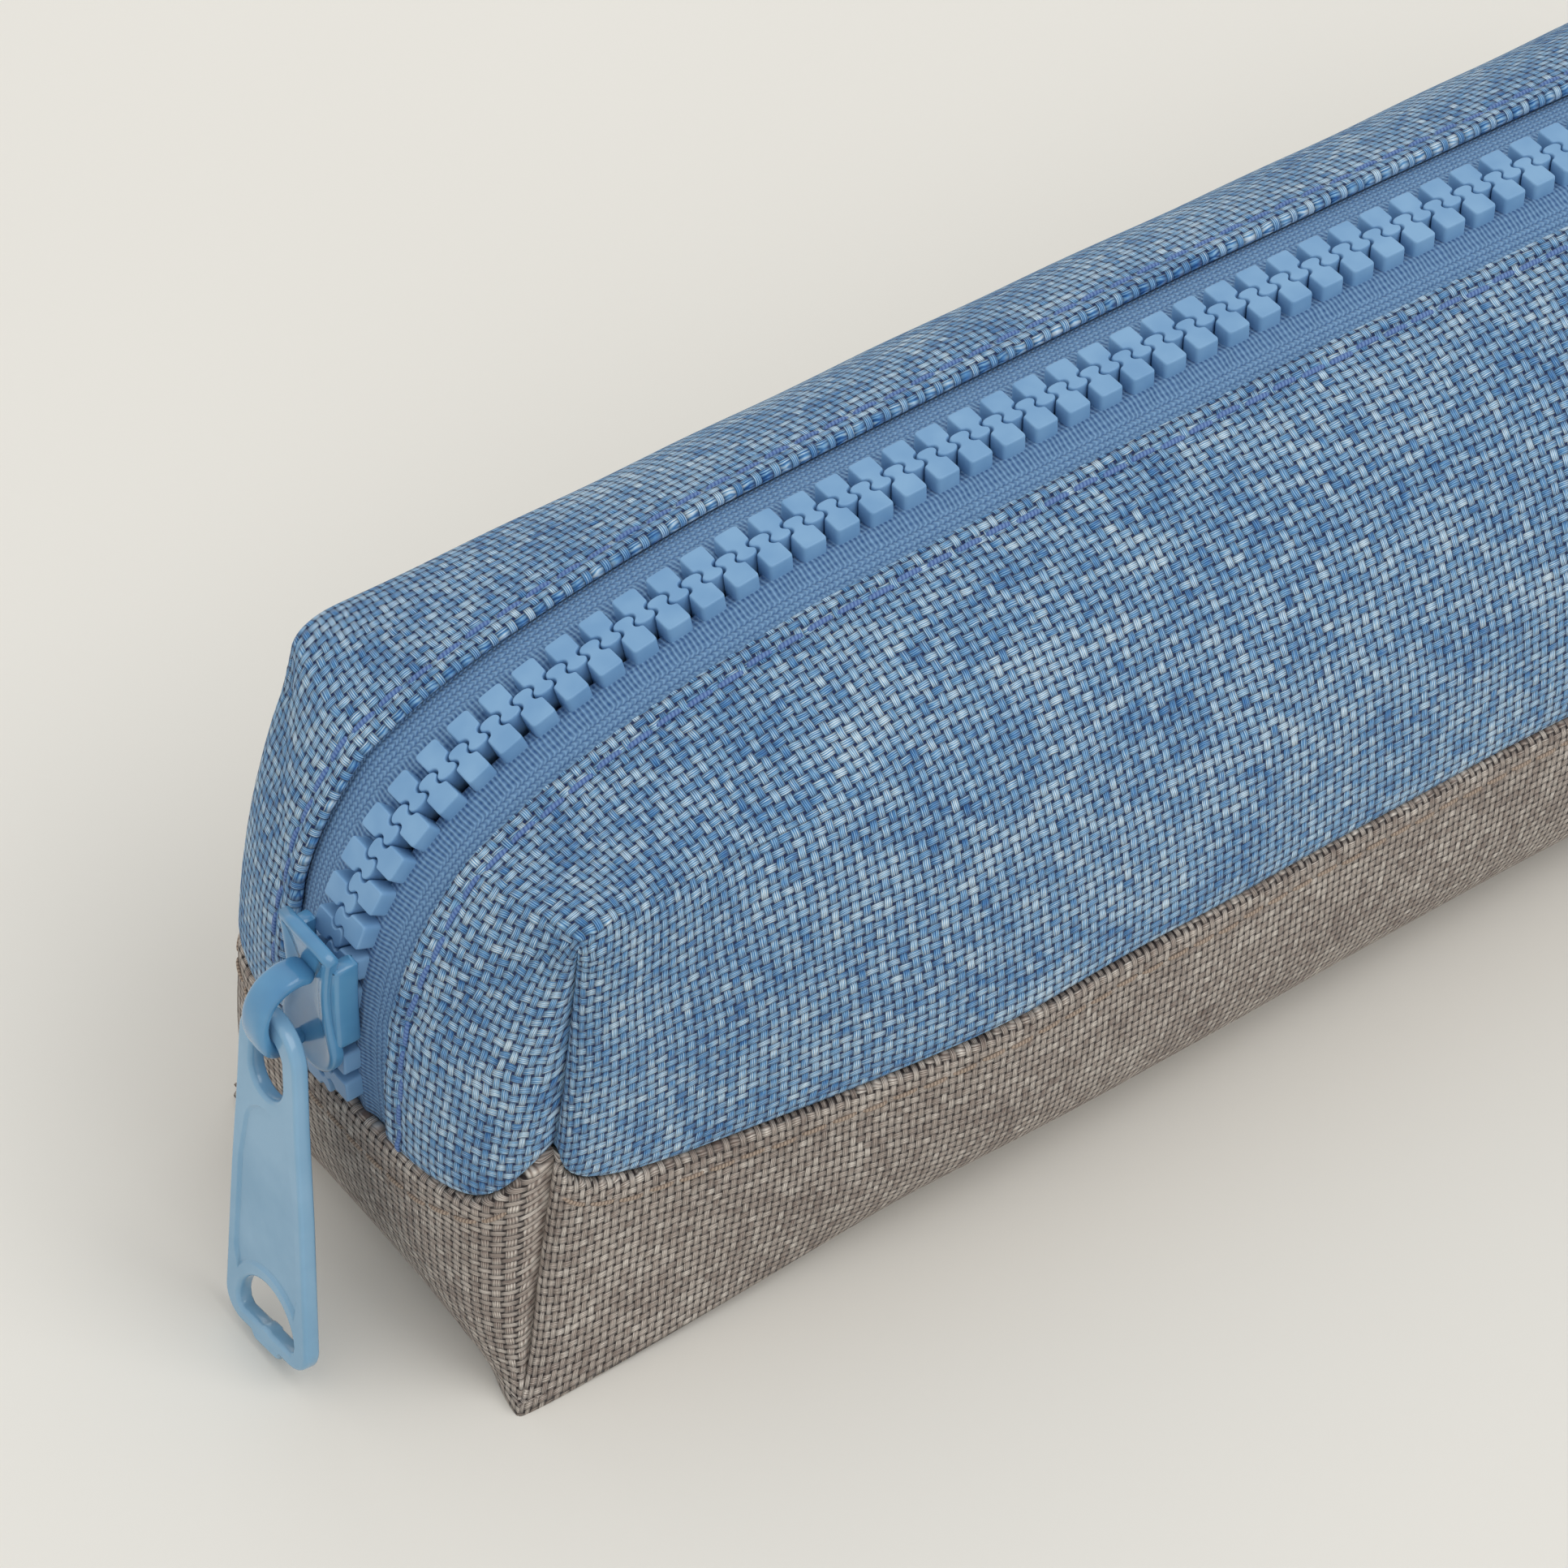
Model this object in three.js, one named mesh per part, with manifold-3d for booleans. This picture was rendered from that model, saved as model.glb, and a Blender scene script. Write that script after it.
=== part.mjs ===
// Soft pencil case with boxed corners, a moulded zip along the top and down both ends,
// a slider with a long pull tab, a two-part outer shell and a sewn-in lining.
// Frame: X along the length with the slider end at -X, Y across, Z up, origin under the
// middle. Units are mm.
import * as THREE from 'three';
import Module from 'manifold-3d';

const wasm = await Module();
wasm.setup();
const { Manifold, Mesh } = wasm;

// ---- body ---------------------------------------------------------------
const LENGTH = 196;          // between the front and rear corner seams
const HALF_LENGTH = LENGTH / 2;
const CORNER_HALF_W = 21.7;  // half width at the corner seams
const MID_HALF_W = 28.5;     // half width where the long sides bulge most
const CORNER_H = 53;         // height of the pinched top corners
const CROWN_H = 61;          // height of the top centre line at mid length
const WIDEST_Z = 27;         // height at which the sides are widest
const TOP_POWER = 2.2;       // roundness of the shoulders, 2 is an ellipse
const BOTTOM_POWER = 3.6;    // roundness of the bottom edges
const FLAT_Z = 0.6;          // the underside is pressed flat below this height
const BULGE_RUN = 45;        // distance from an end over which the bulge grows
const END_RUN = 36;          // distance over which the top rolls over the end
const ARCH_DROP = 1.4;       // fall of the top line from mid length to END_RUN
const SEAM_SIDE_Z = 26.5;    // blue to grey seam on the long sides
const SEAM_END_Z = 22;       // same seam at the middle of an end
const SEAM_CORNER_RISE = 5;  // rise of that seam at a corner
const SEAM_GAP = 0.5;

// ---- layers, measured inwards from the outer skin ------------------------
const PANEL = [0, 0.9];
const TAPE = [1.7, 2.3];
const WALL_LINING = [3.0, 3.5];
const BASE_LINING = [1.6, 2.2];
const BINDING = [4.0, 4.8];
const THREAD = [-0.5, -0.15];

// ---- zip ------------------------------------------------------------------
const FOLD_Y = 7.2;          // folded fabric edge beside the chain
const TOPSTITCH_Y = 9.2;     // thread line beside that fold
const TAPE_HALF_W = 12.5;
const TAPE_INNER_Y = 4.4;    // outside the slider's reach
const TOOTH_PITCH = 3.3;
const TOOTH_BLOCK = 2.0;     // length of a tooth along the chain
const TOOTH_OUT_Y = 2.9;
const TOOTH_ROOT_Y = 0.95;
const TOOTH_TIP_Y = 0.45;    // how far a head reaches past the centre line
const TOOTH_HEAD = 1.1;
const TOOTH_TOP = -0.3;      // offsets from the outer skin
const TOOTH_UNDER = 2.7;
const PARTED_TEETH = 5;      // teeth below the slider that are not engaged
const CHAIN_LOW_Z = SEAM_END_Z + 0.8;   // where the chain leaves the seam at an end
const FIRST_TOOTH = 1.6;     // first tooth from the chain's lower end
const LAST_TOOTH = 1.2;      // least length left after the last tooth

// ---- slider and pull tab ----------------------------------------------------
const SLIDER_Z = 34.6;       // height of the slider's middle on the front end
const SLIDER_LEN = 12.6;
const SLIDER_X = -6.5;       // outer face of the chain there, from the corner plane
const PLATE_T = 1.2;
const PLATE_CLEAR = 0.3;
const CROWN_W = 3.2;
const CROWN_T = 1.3;
const CROWN_REACH = 6.0;
const TAB_X = -11.0;         // mid-plane of the hanging tab, from the corner plane
const TAB_TOP_Z = 34.3;
const TAB_BOTTOM_Z = 0.9;
const TAB_T = 1.5;
const TAB_EYE_R = 2.3;       // half width of the eye that the crown passes through
const TAB_EYE_DROP = 2.1;    // from the tab's top edge to the top of that eye
const TAB_EYE_LOW = 6.8;     // from the tab's top edge to the centre of the eye's round foot
const TAB_SLOT_R = 3.7;      // half width of the slot at the foot
const TAB_SLOT_RISE = 2.5;   // from the tab's lower edge to the slot
const RECESS_LOW_Z = 9;      // sunk panel on the tab's outer face
const RECESS_DROP = 11;
const RECESS_LOW_HALF_W = 2.9;
const RECESS_TOP_HALF_W = 2.3;
const RECESS_T = 0.6;

const mixed = (a, b, t) => a + (b - a) * t;
const clamp01 = (t) => Math.min(1, Math.max(0, t));
const smooth = (t) => clamp01(t) ** 2 * (3 - 2 * clamp01(t));

// ---- shape of the stuffed case ----------------------------------------------
// A point is named by its place on a plain box: face 'top', 'side', 'end' or
// 'bottom', the distance d from the nearest corner plane, the fraction v of the
// half width and the height z.  The functions below inflate that box.

const topHeight = (v) => mixed(CORNER_H, CROWN_H, 1 - v * v);

function roundedSection(v, q) {
  const power = q > 0 ? TOP_POWER : BOTTOM_POWER;
  const norm = (Math.abs(v) ** power + Math.abs(q) ** power) ** (1 / power);
  const reach = q > 0 ? CROWN_H - WIDEST_Z : WIDEST_Z;
  const z = WIDEST_Z + (reach * q) / norm;
  return [(MID_HALF_W * v) / norm, z < FLAT_Z ? 0 : z];
}

function sectionPoint(face, d, v, z) {
  const g = smooth(d / BULGE_RUN);
  let q = 1;
  if (face === 'bottom') q = -1;
  if (face === 'side') {
    const reach = z > WIDEST_Z ? CORNER_H - WIDEST_Z : WIDEST_Z;
    q = (z - WIDEST_Z) / reach;
  }
  const round = roundedSection(v, q);
  const flatZ = { top: topHeight(v), bottom: 0, side: z }[face];
  return [mixed(CORNER_HALF_W * v, round[0], g), mixed(flatZ, round[1], g)];
}

function bezier(points, t) {
  const s = 1 - t;
  const w = [s * s * s, 3 * s * s * t, 3 * s * t * t, t * t * t];
  return [0, 1].map((k) => w.reduce((sum, wi, i) => sum + wi * points[i][k], 0));
}

// Centre line of an end: from the floor out to the seam, then up and over to the top.
const END_LOWER = [[1.5, 0], [-3.5, 2], [-5.8, 10], [-5.9, SEAM_END_Z]];
const END_UPPER = [[-5.9, SEAM_END_Z], [-8.3, 46], [1.5, 55.6], [END_RUN, CROWN_H - ARCH_DROP]];

function endRoll(d, z) {
  if (z < SEAM_END_Z) {
    const p = bezier(END_LOWER, z / SEAM_END_Z);
    return [p[0], p[1] - z];
  }
  const whole = CROWN_H - SEAM_END_Z + END_RUN;
  const p = bezier(END_UPPER, (z - SEAM_END_Z + d) / whole);
  return [p[0] - d, p[1] - z];
}

// The outward bulge stays full close to a corner seam, the set-back fades towards it.
const rollX = (shift, open) => (shift < 0 ? shift * open ** 0.45 : shift * open);

function skinPoint(face, d, v, z) {
  const open = Math.max(0, 1 - v * v);
  if (face === 'end') {
    const roll = endRoll(0, (z / topHeight(v)) * CROWN_H);
    return [rollX(roll[0], open), CORNER_HALF_W * v, z + roll[1] * open];
  }
  const [y, height] = sectionPoint(face, d, v, z);
  if (face === 'side') return [d, y, height];
  if (face === 'bottom') {
    return [d + END_LOWER[0][0] * smooth(1 - d / 10) * open, y, height];
  }
  if (d >= END_RUN) {
    const far = (HALF_LENGTH - d) / (HALF_LENGTH - END_RUN);
    return [d, y, height - ARCH_DROP * far * far * open];
  }
  const roll = endRoll(d, CROWN_H);
  return [d + rollX(roll[0], open), y, height + roll[1] * open];
}

// Box place with signed x in, world point out.
function place({ face, x, v, z }) {
  const end = Math.sign(x) || 1;
  const [d, y, height] = skinPoint(face, HALF_LENGTH - Math.abs(x), v, z);
  return new THREE.Vector3(end * (HALF_LENGTH - d), y, height);
}

const halfWidthAt = (d) => mixed(CORNER_HALF_W, MID_HALF_W, smooth(d / BULGE_RUN));
const vAt = (d, y) => y / halfWidthAt(d);

function seamOnEnd(v) {
  const near = (1 - Math.abs(v)) * CORNER_HALF_W;
  const lift = SEAM_SIDE_Z - SEAM_END_Z;
  return SEAM_END_Z + lift * v ** 4 + SEAM_CORNER_RISE * Math.exp(-near / 3);
}

const seamOnSide = (d) => SEAM_SIDE_Z + SEAM_CORNER_RISE * Math.exp(-d / 3);

// ---- grids of places ----------------------------------------------------------
const DISTANCES = [0, 2.5, 6, 10, 14, 18, 23, 29, 36, 46, 62, 80];
const WALL_ROWS = 5;         // the same on sides and ends, so that they share corner points
const WALL_COLUMNS = 5;
const BASE_ROWS = 4;

function stations() {
  const front = DISTANCES.map((d) => d - HALF_LENGTH);
  return [...front, 0, ...front.map((x) => -x).reverse()];
}

const steps = (count) => Array.from({ length: count + 1 }, (_, i) => i / count);

function topGrid(yInner, columns, outer = null) {
  return stations().map((x) => steps(columns).map((t) => {
    const d = HALF_LENGTH - Math.abs(x);
    const edge = outer === null ? 1 : vAt(d, outer);
    return { face: 'top', x, v: mixed(vAt(d, yInner), edge, t) };
  }));
}

function endGrid(end, columns, rows, lowest, highest = topHeight) {
  return columns.map((v) => steps(rows).map((s) => ({
    face: 'end', x: end * HALF_LENGTH, v, z: mixed(lowest(v), highest(v), s),
  })));
}

// Columns of an end from the fold to the corner, and from the middle to the corner.
const spread = (from, to, count) => steps(count).map((t) => mixed(from, to, t));
const wallColumns = (yInner) => spread(vAt(0, yInner), 1, WALL_COLUMNS);
const fullColumns = () => [0, vAt(0, FOLD_Y / 2), ...wallColumns(FOLD_Y)];

function sideGrid(rows, lowest, highest) {
  return stations().map((x) => steps(rows).map((s) => {
    const d = HALF_LENGTH - Math.abs(x);
    return { face: 'side', x, v: 1, z: mixed(lowest(d), highest(d), s) };
  }));
}

const mirrored = (grid) => grid.map((row) => row.map((p) => ({ ...p, v: -p.v })));

// ---- closed sheets -------------------------------------------------------------
function weld(grids) {
  const points = [];
  const index = new Map();
  const quads = [];
  const idOf = (p) => {
    const at = place(p);
    const key = at.toArray().map((c) => Math.round(c * 1000)).join();
    if (!index.has(key)) {
      index.set(key, points.length);
      points.push(at);
    }
    return index.get(key);
  };
  for (const { grid, flip } of grids) {
    const ids = grid.map((row) => row.map(idOf));
    for (let i = 0; i + 1 < ids.length; i += 1) {
      for (let j = 0; j + 1 < ids[i].length; j += 1) {
        const quad = [ids[i][j], ids[i + 1][j], ids[i + 1][j + 1], ids[i][j + 1]];
        quads.push(flip ? quad.reverse() : quad);
      }
    }
  }
  return { points, faces: quads.flatMap(([a, b, c, d]) => [[a, b, c], [a, c, d]]) };
}

function vertexNormals({ points, faces }) {
  const normals = points.map(() => new THREE.Vector3());
  for (const [a, b, c] of faces) {
    const ab = points[b].clone().sub(points[a]);
    const ac = points[c].clone().sub(points[a]);
    const n = ab.cross(ac);
    [a, b, c].forEach((i) => normals[i].add(n));
  }
  return normals.map((n) => n.normalize());
}

function boundaryEdges(faces) {
  const open = new Map();
  for (const [a, b, c] of faces) {
    for (const [p, q] of [[a, b], [b, c], [c, a]]) {
      if (open.has(`${q},${p}`)) open.delete(`${q},${p}`);
      else open.set(`${p},${q}`, [p, q]);
    }
  }
  return [...open.values()];
}

function sheet(grids, [outer, inner]) {
  const surface = weld(grids);
  const normals = vertexNormals(surface);
  const count = surface.points.length;
  const shifted = (depth) => surface.points.map((p, i) => p.clone().addScaledVector(normals[i], -depth));
  const points = [...shifted(outer), ...shifted(inner)];
  const front = surface.faces;
  const back = front.map(([a, b, c]) => [a + count, c + count, b + count]);
  const rim = boundaryEdges(front).flatMap(([p, q]) => [[q, p, p + count], [q, p + count, q + count]]);
  return indexed(points, [...front, ...back, ...rim]);
}

function indexed(points, faces) {
  const geometry = new THREE.BufferGeometry();
  const coordinates = points.flatMap((p) => p.toArray());
  geometry.setAttribute('position', new THREE.Float32BufferAttribute(coordinates, 3));
  geometry.setIndex(faces.flat());
  geometry.computeVertexNormals();
  return geometry;
}

// ---- booleans --------------------------------------------------------------------
function toManifold(geometry) {
  const position = geometry.getAttribute('position');
  const index = geometry.getIndex();
  const count = index ? index.count : position.count;
  const at = (i) => (index ? index.getX(i) : i);
  const keys = new Map();
  const verts = [];
  const tris = [];
  for (let i = 0; i < count; i += 1) {
    const p = [position.getX(at(i)), position.getY(at(i)), position.getZ(at(i))];
    const key = p.map((c) => Math.round(c * 1e4)).join();
    if (!keys.has(key)) {
      keys.set(key, verts.length / 3);
      verts.push(...p);
    }
    tris.push(keys.get(key));
  }
  const mesh = new Mesh({
    numProp: 3,
    vertProperties: new Float32Array(verts),
    triVerts: new Uint32Array(tris),
  });
  mesh.merge();
  return new Manifold(mesh);
}

function fromManifold(solid) {
  const mesh = solid.getMesh();
  const geometry = new THREE.BufferGeometry();
  geometry.setAttribute('position', new THREE.Float32BufferAttribute(mesh.vertProperties, 3));
  geometry.setIndex([...mesh.triVerts]);
  geometry.computeVertexNormals();
  return geometry;
}

const union = (geometries) => fromManifold(Manifold.union(geometries.map(toManifold)));
const cut = (base, tools) => {
  const start = toManifold(base);
  return fromManifold(tools.reduce((s, t) => s.subtract(toManifold(t)), start));
};

// ---- fabric pieces -----------------------------------------------------------------
function wallSheet(side, layer, yInner, gap) {
  const low = (v) => seamOnEnd(v) + gap;
  const grids = [
    { grid: topGrid(yInner, WALL_COLUMNS), flip: false },
    { grid: sideGrid(WALL_ROWS, (d) => seamOnSide(d) + gap, () => CORNER_H), flip: true },
    { grid: endGrid(-1, wallColumns(yInner), WALL_ROWS, low), flip: true },
    { grid: endGrid(1, wallColumns(yInner), WALL_ROWS, low), flip: false },
  ];
  return sheet(facing(grids, side), layer);
}

function facing(grids, side) {
  if (side > 0) return grids;
  return grids.map(({ grid, flip }) => ({ grid: mirrored(grid), flip: !flip }));
}

function baseSheet(layer, gap) {
  const ends = [-1, 1].flatMap((end) => [1, -1].map((side) => {
    const half = endGrid(end, fullColumns(), BASE_ROWS, () => 0, (v) => seamOnEnd(v) - gap);
    return facing([{ grid: half, flip: end < 0 }], side)[0];
  }));
  const sides = [1, -1].map((side) => {
    const grid = sideGrid(BASE_ROWS, () => 0, (d) => seamOnSide(d) - gap);
    return facing([{ grid, flip: true }], side)[0];
  });
  const under = [1, -1].map((side) => {
    const grid = stations().map((x) => fullColumns().map((v) => ({ face: 'bottom', x, v })));
    return facing([{ grid, flip: true }], side)[0];
  });
  return sheet([...ends, ...sides, ...under], layer);
}

function ribbon(side, layer, yInner, yOuter, lowest) {
  const columns = [vAt(0, yInner), vAt(0, yOuter)];
  const grids = [
    { grid: topGrid(yInner, 1, yOuter), flip: false },
    { grid: endGrid(-1, columns, 7, lowest), flip: true },
    { grid: endGrid(1, columns, 7, lowest), flip: false },
  ];
  return sheet(facing(grids, side), layer);
}

// A band round the case, a given distance below the blue to grey seam.
function seamBand(layer, upper, lower) {
  const parts = [1, -1].flatMap((side) => {
    const ends = [-1, 1].map((end) => ({
      grid: endGrid(end, fullColumns(), 1, (v) => seamOnEnd(v) - lower, (v) => seamOnEnd(v) - upper),
      flip: end < 0,
    }));
    const long = sideGrid(1, (d) => seamOnSide(d) - lower, (d) => seamOnSide(d) - upper);
    return facing([...ends, { grid: long, flip: true }], side);
  });
  return sheet(parts, layer);
}

// ---- zip teeth ------------------------------------------------------------------------
// Places along the chain, from the front seam up, along the top and down the rear.
function chainPath() {
  const onEnd = (s) => ({ face: 'end', x: -HALF_LENGTH, v: 0, z: mixed(CHAIN_LOW_Z, CROWN_H, s) });
  const onTop = (s) => ({ face: 'top', x: mixed(-HALF_LENGTH, HALF_LENGTH, s), v: 0 });
  const up = steps(24).map((s) => place(onEnd(s)));
  const along = steps(70).slice(1, -1).map((s) => place(onTop(s)));
  const down = up.map((p) => new THREE.Vector3(-p.x, p.y, p.z)).reverse();
  return [...up, ...along, ...down];
}

function measured(path) {
  const marks = [0];
  for (let i = 1; i < path.length; i += 1) marks.push(marks[i - 1] + path[i].distanceTo(path[i - 1]));
  return { path, marks, total: marks[marks.length - 1] };
}

function frameAt({ path, marks, total }, s) {
  const k = Math.min(path.length - 2, Math.max(0, marks.findIndex((m) => m > s) - 1));
  const last = s >= total ? path.length - 2 : k;
  const along = path[last + 1].clone().sub(path[last]).normalize();
  const origin = path[last].clone().addScaledVector(along, s - marks[last]);
  const out = new THREE.Vector3(-along.z, 0, along.x);
  return { origin, along, out };
}

function toothOutline(side, parted) {
  const tip = parted ? TOOTH_ROOT_Y - 0.3 : -TOOTH_TIP_Y;
  const half = TOOTH_BLOCK / 2;
  const neck = TOOTH_HEAD / 2;
  return [
    [-half, TOOTH_OUT_Y], [-half, TOOTH_ROOT_Y], [-neck, TOOTH_ROOT_Y - 0.2], [-neck, tip],
    [neck, tip], [neck, TOOTH_ROOT_Y - 0.2], [half, TOOTH_ROOT_Y], [half, TOOTH_OUT_Y],
  ].map(([s, y]) => [s, side * y]);
}

function tooth(chain, s, side, parted) {
  const { origin, along, out } = frameAt(chain, s);
  const ring = (depth) => toothOutline(side, parted).map(([t, y]) => origin.clone()
    .addScaledVector(along, t).addScaledVector(out, -depth).add(new THREE.Vector3(0, y, 0)));
  const lower = ring(TOOTH_UNDER);
  const upper = ring(TOOTH_TOP);
  const n = lower.length;
  const caps = THREE.ShapeUtils.triangulateShape(
    toothOutline(1, parted).map(([t, y]) => new THREE.Vector2(t, y)), []);
  const walls = lower.flatMap((_, i) => {
    const j = (i + 1) % n;
    return [[i, j, j + n], [i, j + n, i + n]];
  });
  const below = caps.map(([a, b, c]) => [a, c, b]);
  const above = caps.map(([a, b, c]) => [a + n, b + n, c + n]);
  const faces = [...below, ...above, ...walls];
  const points = [...lower, ...upper];
  return outward(points, faces);
}

function outward(points, faces) {
  const volume = faces.reduce((sum, [a, b, c]) => sum
    + points[a].dot(points[b].clone().cross(points[c])), 0);
  return indexed(points, volume > 0 ? faces : faces.map(([a, b, c]) => [a, c, b]));
}

function cord(chain, side) {
  const rows = Math.round(chain.total / (TOOTH_PITCH * 1.5));
  const rings = steps(rows).map((t) => {
    const { origin, out } = frameAt(chain, mixed(0.4, chain.total - 0.4, t));
    return [[1.45, 0.9], [2.45, 0.9], [2.45, 1.35], [1.45, 1.35]].map(([y, depth]) => origin.clone()
      .addScaledVector(out, -depth).add(new THREE.Vector3(0, side * y, 0)));
  });
  const faces = [[0, 1, 2], [0, 2, 3]];
  const last = rows * 4;
  faces.push([last, last + 2, last + 1], [last, last + 3, last + 2]);
  for (let r = 0; r < rows; r += 1) {
    for (let k = 0; k < 4; k += 1) {
      const a = r * 4 + k;
      const b = r * 4 + ((k + 1) % 4);
      faces.push([a, a + 4, b + 4], [a, b + 4, b]);
    }
  }
  return outward(rings.flat(), faces);
}

function teethRow(side) {
  const chain = measured(chainPath());
  const first = side > 0 ? FIRST_TOOTH : FIRST_TOOTH + TOOTH_PITCH / 2;
  const count = Math.floor((chain.total - first - LAST_TOOTH) / TOOTH_PITCH);
  const toothAt = (_, i) => tooth(chain, first + i * TOOTH_PITCH, side, i < PARTED_TEETH);
  const teeth = Array.from({ length: count + 1 }, toothAt);
  return union([cord(chain, side), ...teeth]);
}

// ---- slider and pull tab -----------------------------------------------------------------
// Drawn lying flat: u across, w up the chain, thickness outwards; then stood on the end.
function plate(outline, thickness, holes = []) {
  const shape = new THREE.Shape(outline.map(([u, w]) => new THREE.Vector2(u, w)));
  holes.forEach((hole) => shape.holes.push(new THREE.Path(hole.map(([u, w]) => new THREE.Vector2(u, w)))));
  return new THREE.ExtrudeGeometry(shape, { depth: thickness, bevelEnabled: false });
}

// Plate whose outer face is at x, standing in the YZ plane with its middle at height z.
function stand(geometry, x, z) {
  geometry.rotateX(Math.PI / 2);
  geometry.rotateZ(Math.PI / 2);
  geometry.translate(x - HALF_LENGTH, 0, z);
  return geometry;
}

function arc(centreU, centreW, radius, from, to, count) {
  return steps(count).map((t) => {
    const a = mixed(from, to, t);
    return [centreU + radius * Math.cos(a), centreW + radius * Math.sin(a)];
  });
}

function sliderOutline(half, waist) {
  const h = SLIDER_LEN / 2;
  const right = [[half, h], [waist, h - 5], [half + 0.4, -h + 4.5]];
  const foot = arc(0, -h + 3.4, 3.4, -0.3, -Math.PI + 0.3, 8);
  const left = right.map(([u, w]) => [-u, w]).reverse();
  return [...right, ...foot, ...left].reverse();
}

function crown() {
  const outer = [[0, -4.6], [-CROWN_REACH, -3.4], [-CROWN_REACH, 0.8], [-4.4, 3.4],
    [-1.4, 4.2], [-0.25, 3.9]];
  const inner = [[-0.25, 2.6], [-1.2, 2.8], [-3.6, 2.1], [-CROWN_REACH + CROWN_T, 0.2],
    [-CROWN_REACH + CROWN_T, -2.6], [-3.6, -3.2], [0.4, -3.2], [0.4, -4.6]];
  const shape = new THREE.Shape([...outer, ...inner].map(([x, z]) => new THREE.Vector2(x, z)));
  const geometry = new THREE.ExtrudeGeometry(shape, { depth: CROWN_W, bevelEnabled: false });
  geometry.rotateX(Math.PI / 2);
  geometry.translate(0, CROWN_W / 2, 0);
  return geometry;
}

function box(x0, x1, y0, y1, z0, z1) {
  const geometry = new THREE.BoxGeometry(x1 - x0, y1 - y0, z1 - z0);
  geometry.translate((x0 + x1) / 2, (y0 + y1) / 2, (z0 + z1) / 2);
  return geometry;
}

function sliderBody() {
  const top = SLIDER_X - PLATE_CLEAR - PLATE_T;
  const under = SLIDER_X + TOOTH_UNDER + 1.1;
  const front = stand(plate(sliderOutline(3.7, 3.5), PLATE_T), top, SLIDER_Z);
  const back = box(under - HALF_LENGTH, under - HALF_LENGTH + 1, -3.6, 3.6, SLIDER_Z - 5.6, SLIDER_Z + 1.0);
  const h = SLIDER_LEN / 2;
  const x = (value) => value - HALF_LENGTH;
  const flanges = [-1, 1].map((side) => box(
    x(top + 0.3), x(SLIDER_X + 0.75), Math.min(side * 3.2, side * 4.1), Math.max(side * 3.2, side * 4.1),
    SLIDER_Z - h + 1.6, SLIDER_Z + h - 1.2));
  const post = box(x(top + 0.3), x(under + 0.5), -0.35, 0.35, SLIDER_Z - h + 1.6, SLIDER_Z - h + 4.4);
  const hook = crown();
  hook.translate(x(top + 0.2), 0, SLIDER_Z);
  return union([front, back, ...flanges, post, hook]);
}

function tabOutline() {
  const top = TAB_TOP_Z;
  const low = TAB_BOTTOM_Z + 0.7;
  const crest = arc(0, top - 4.1, 4.1, 0, Math.PI, 10);
  const leftFoot = arc(-3.1, low + 2.4, 2.4, Math.PI, Math.PI * 1.5, 4);
  const rightFoot = arc(3.1, low + 2.4, 2.4, -Math.PI / 2, 0, 4);
  const bump = [[-1.9, low], [-1.7, low - 0.7], [1.7, low - 0.7], [1.9, low]];
  return [...crest, ...leftFoot, ...bump, ...rightFoot];
}

function pullTab() {
  const eyeTop = TAB_TOP_Z - TAB_EYE_DROP;
  const eye = [[TAB_EYE_R, eyeTop - 1], [1.7, eyeTop], [-1.7, eyeTop], [-TAB_EYE_R, eyeTop - 1],
    ...arc(0, TAB_TOP_Z - TAB_EYE_LOW, TAB_EYE_R, Math.PI, 2 * Math.PI, 8)];
  const slotLow = TAB_BOTTOM_Z + TAB_SLOT_RISE;
  const slot = [[-TAB_SLOT_R, slotLow], [TAB_SLOT_R, slotLow],
    ...arc(0, slotLow, TAB_SLOT_R, 0.25, Math.PI - 0.25, 8)];
  const body = stand(plate(tabOutline(), TAB_T, [eye, slot]), TAB_X - TAB_T / 2, 0);
  const recessTop = TAB_TOP_Z - RECESS_DROP;
  const recessOutline = [[-RECESS_LOW_HALF_W, RECESS_LOW_Z], [RECESS_LOW_HALF_W, RECESS_LOW_Z],
    [RECESS_TOP_HALF_W, recessTop], [-RECESS_TOP_HALF_W, recessTop]];
  const recess = stand(plate(recessOutline, 1), TAB_X - TAB_T / 2 - RECESS_T, 0);
  return cut(body, [recess]);
}

// ---- assembly --------------------------------------------------------------------------------
const COLOURS = {
  blue: 0x6c9cc6, grey: 0x9a8f85, tape: 0x5f8fc4, teeth: 0x6c97c4,
  metal: 0x7aa5c2, thread: 0x6a78b0, sand: 0xb39c86, lining: 0x8b9098, binding: 0x3f4f6b,
};

function piece(name, geometry, colour, metalness = 0, roughness = 0.85) {
  const material = new THREE.MeshStandardMaterial({ color: COLOURS[colour], metalness, roughness });
  const mesh = new THREE.Mesh(geometry, material);
  mesh.name = name;
  return mesh;
}

function walls(side, label) {
  const low = (v) => seamOnEnd(v) + 1.5;
  return [
    piece(`blue_panel_${label}`, wallSheet(side, PANEL, FOLD_Y, SEAM_GAP / 2), 'blue'),
    piece(`lining_${label}`, wallSheet(side, WALL_LINING, FOLD_Y, 1.2), 'lining'),
    piece(`zip_tape_${label}`, ribbon(side, TAPE, TAPE_INNER_Y, TAPE_HALF_W, low), 'tape'),
    piece(`zip_teeth_${label}`, teethRow(side), 'teeth', 0, 0.45),
    piece(`topstitch_${label}`, ribbon(side, THREAD, TOPSTITCH_Y, TOPSTITCH_Y + 0.5, low), 'thread'),
  ];
}

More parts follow.
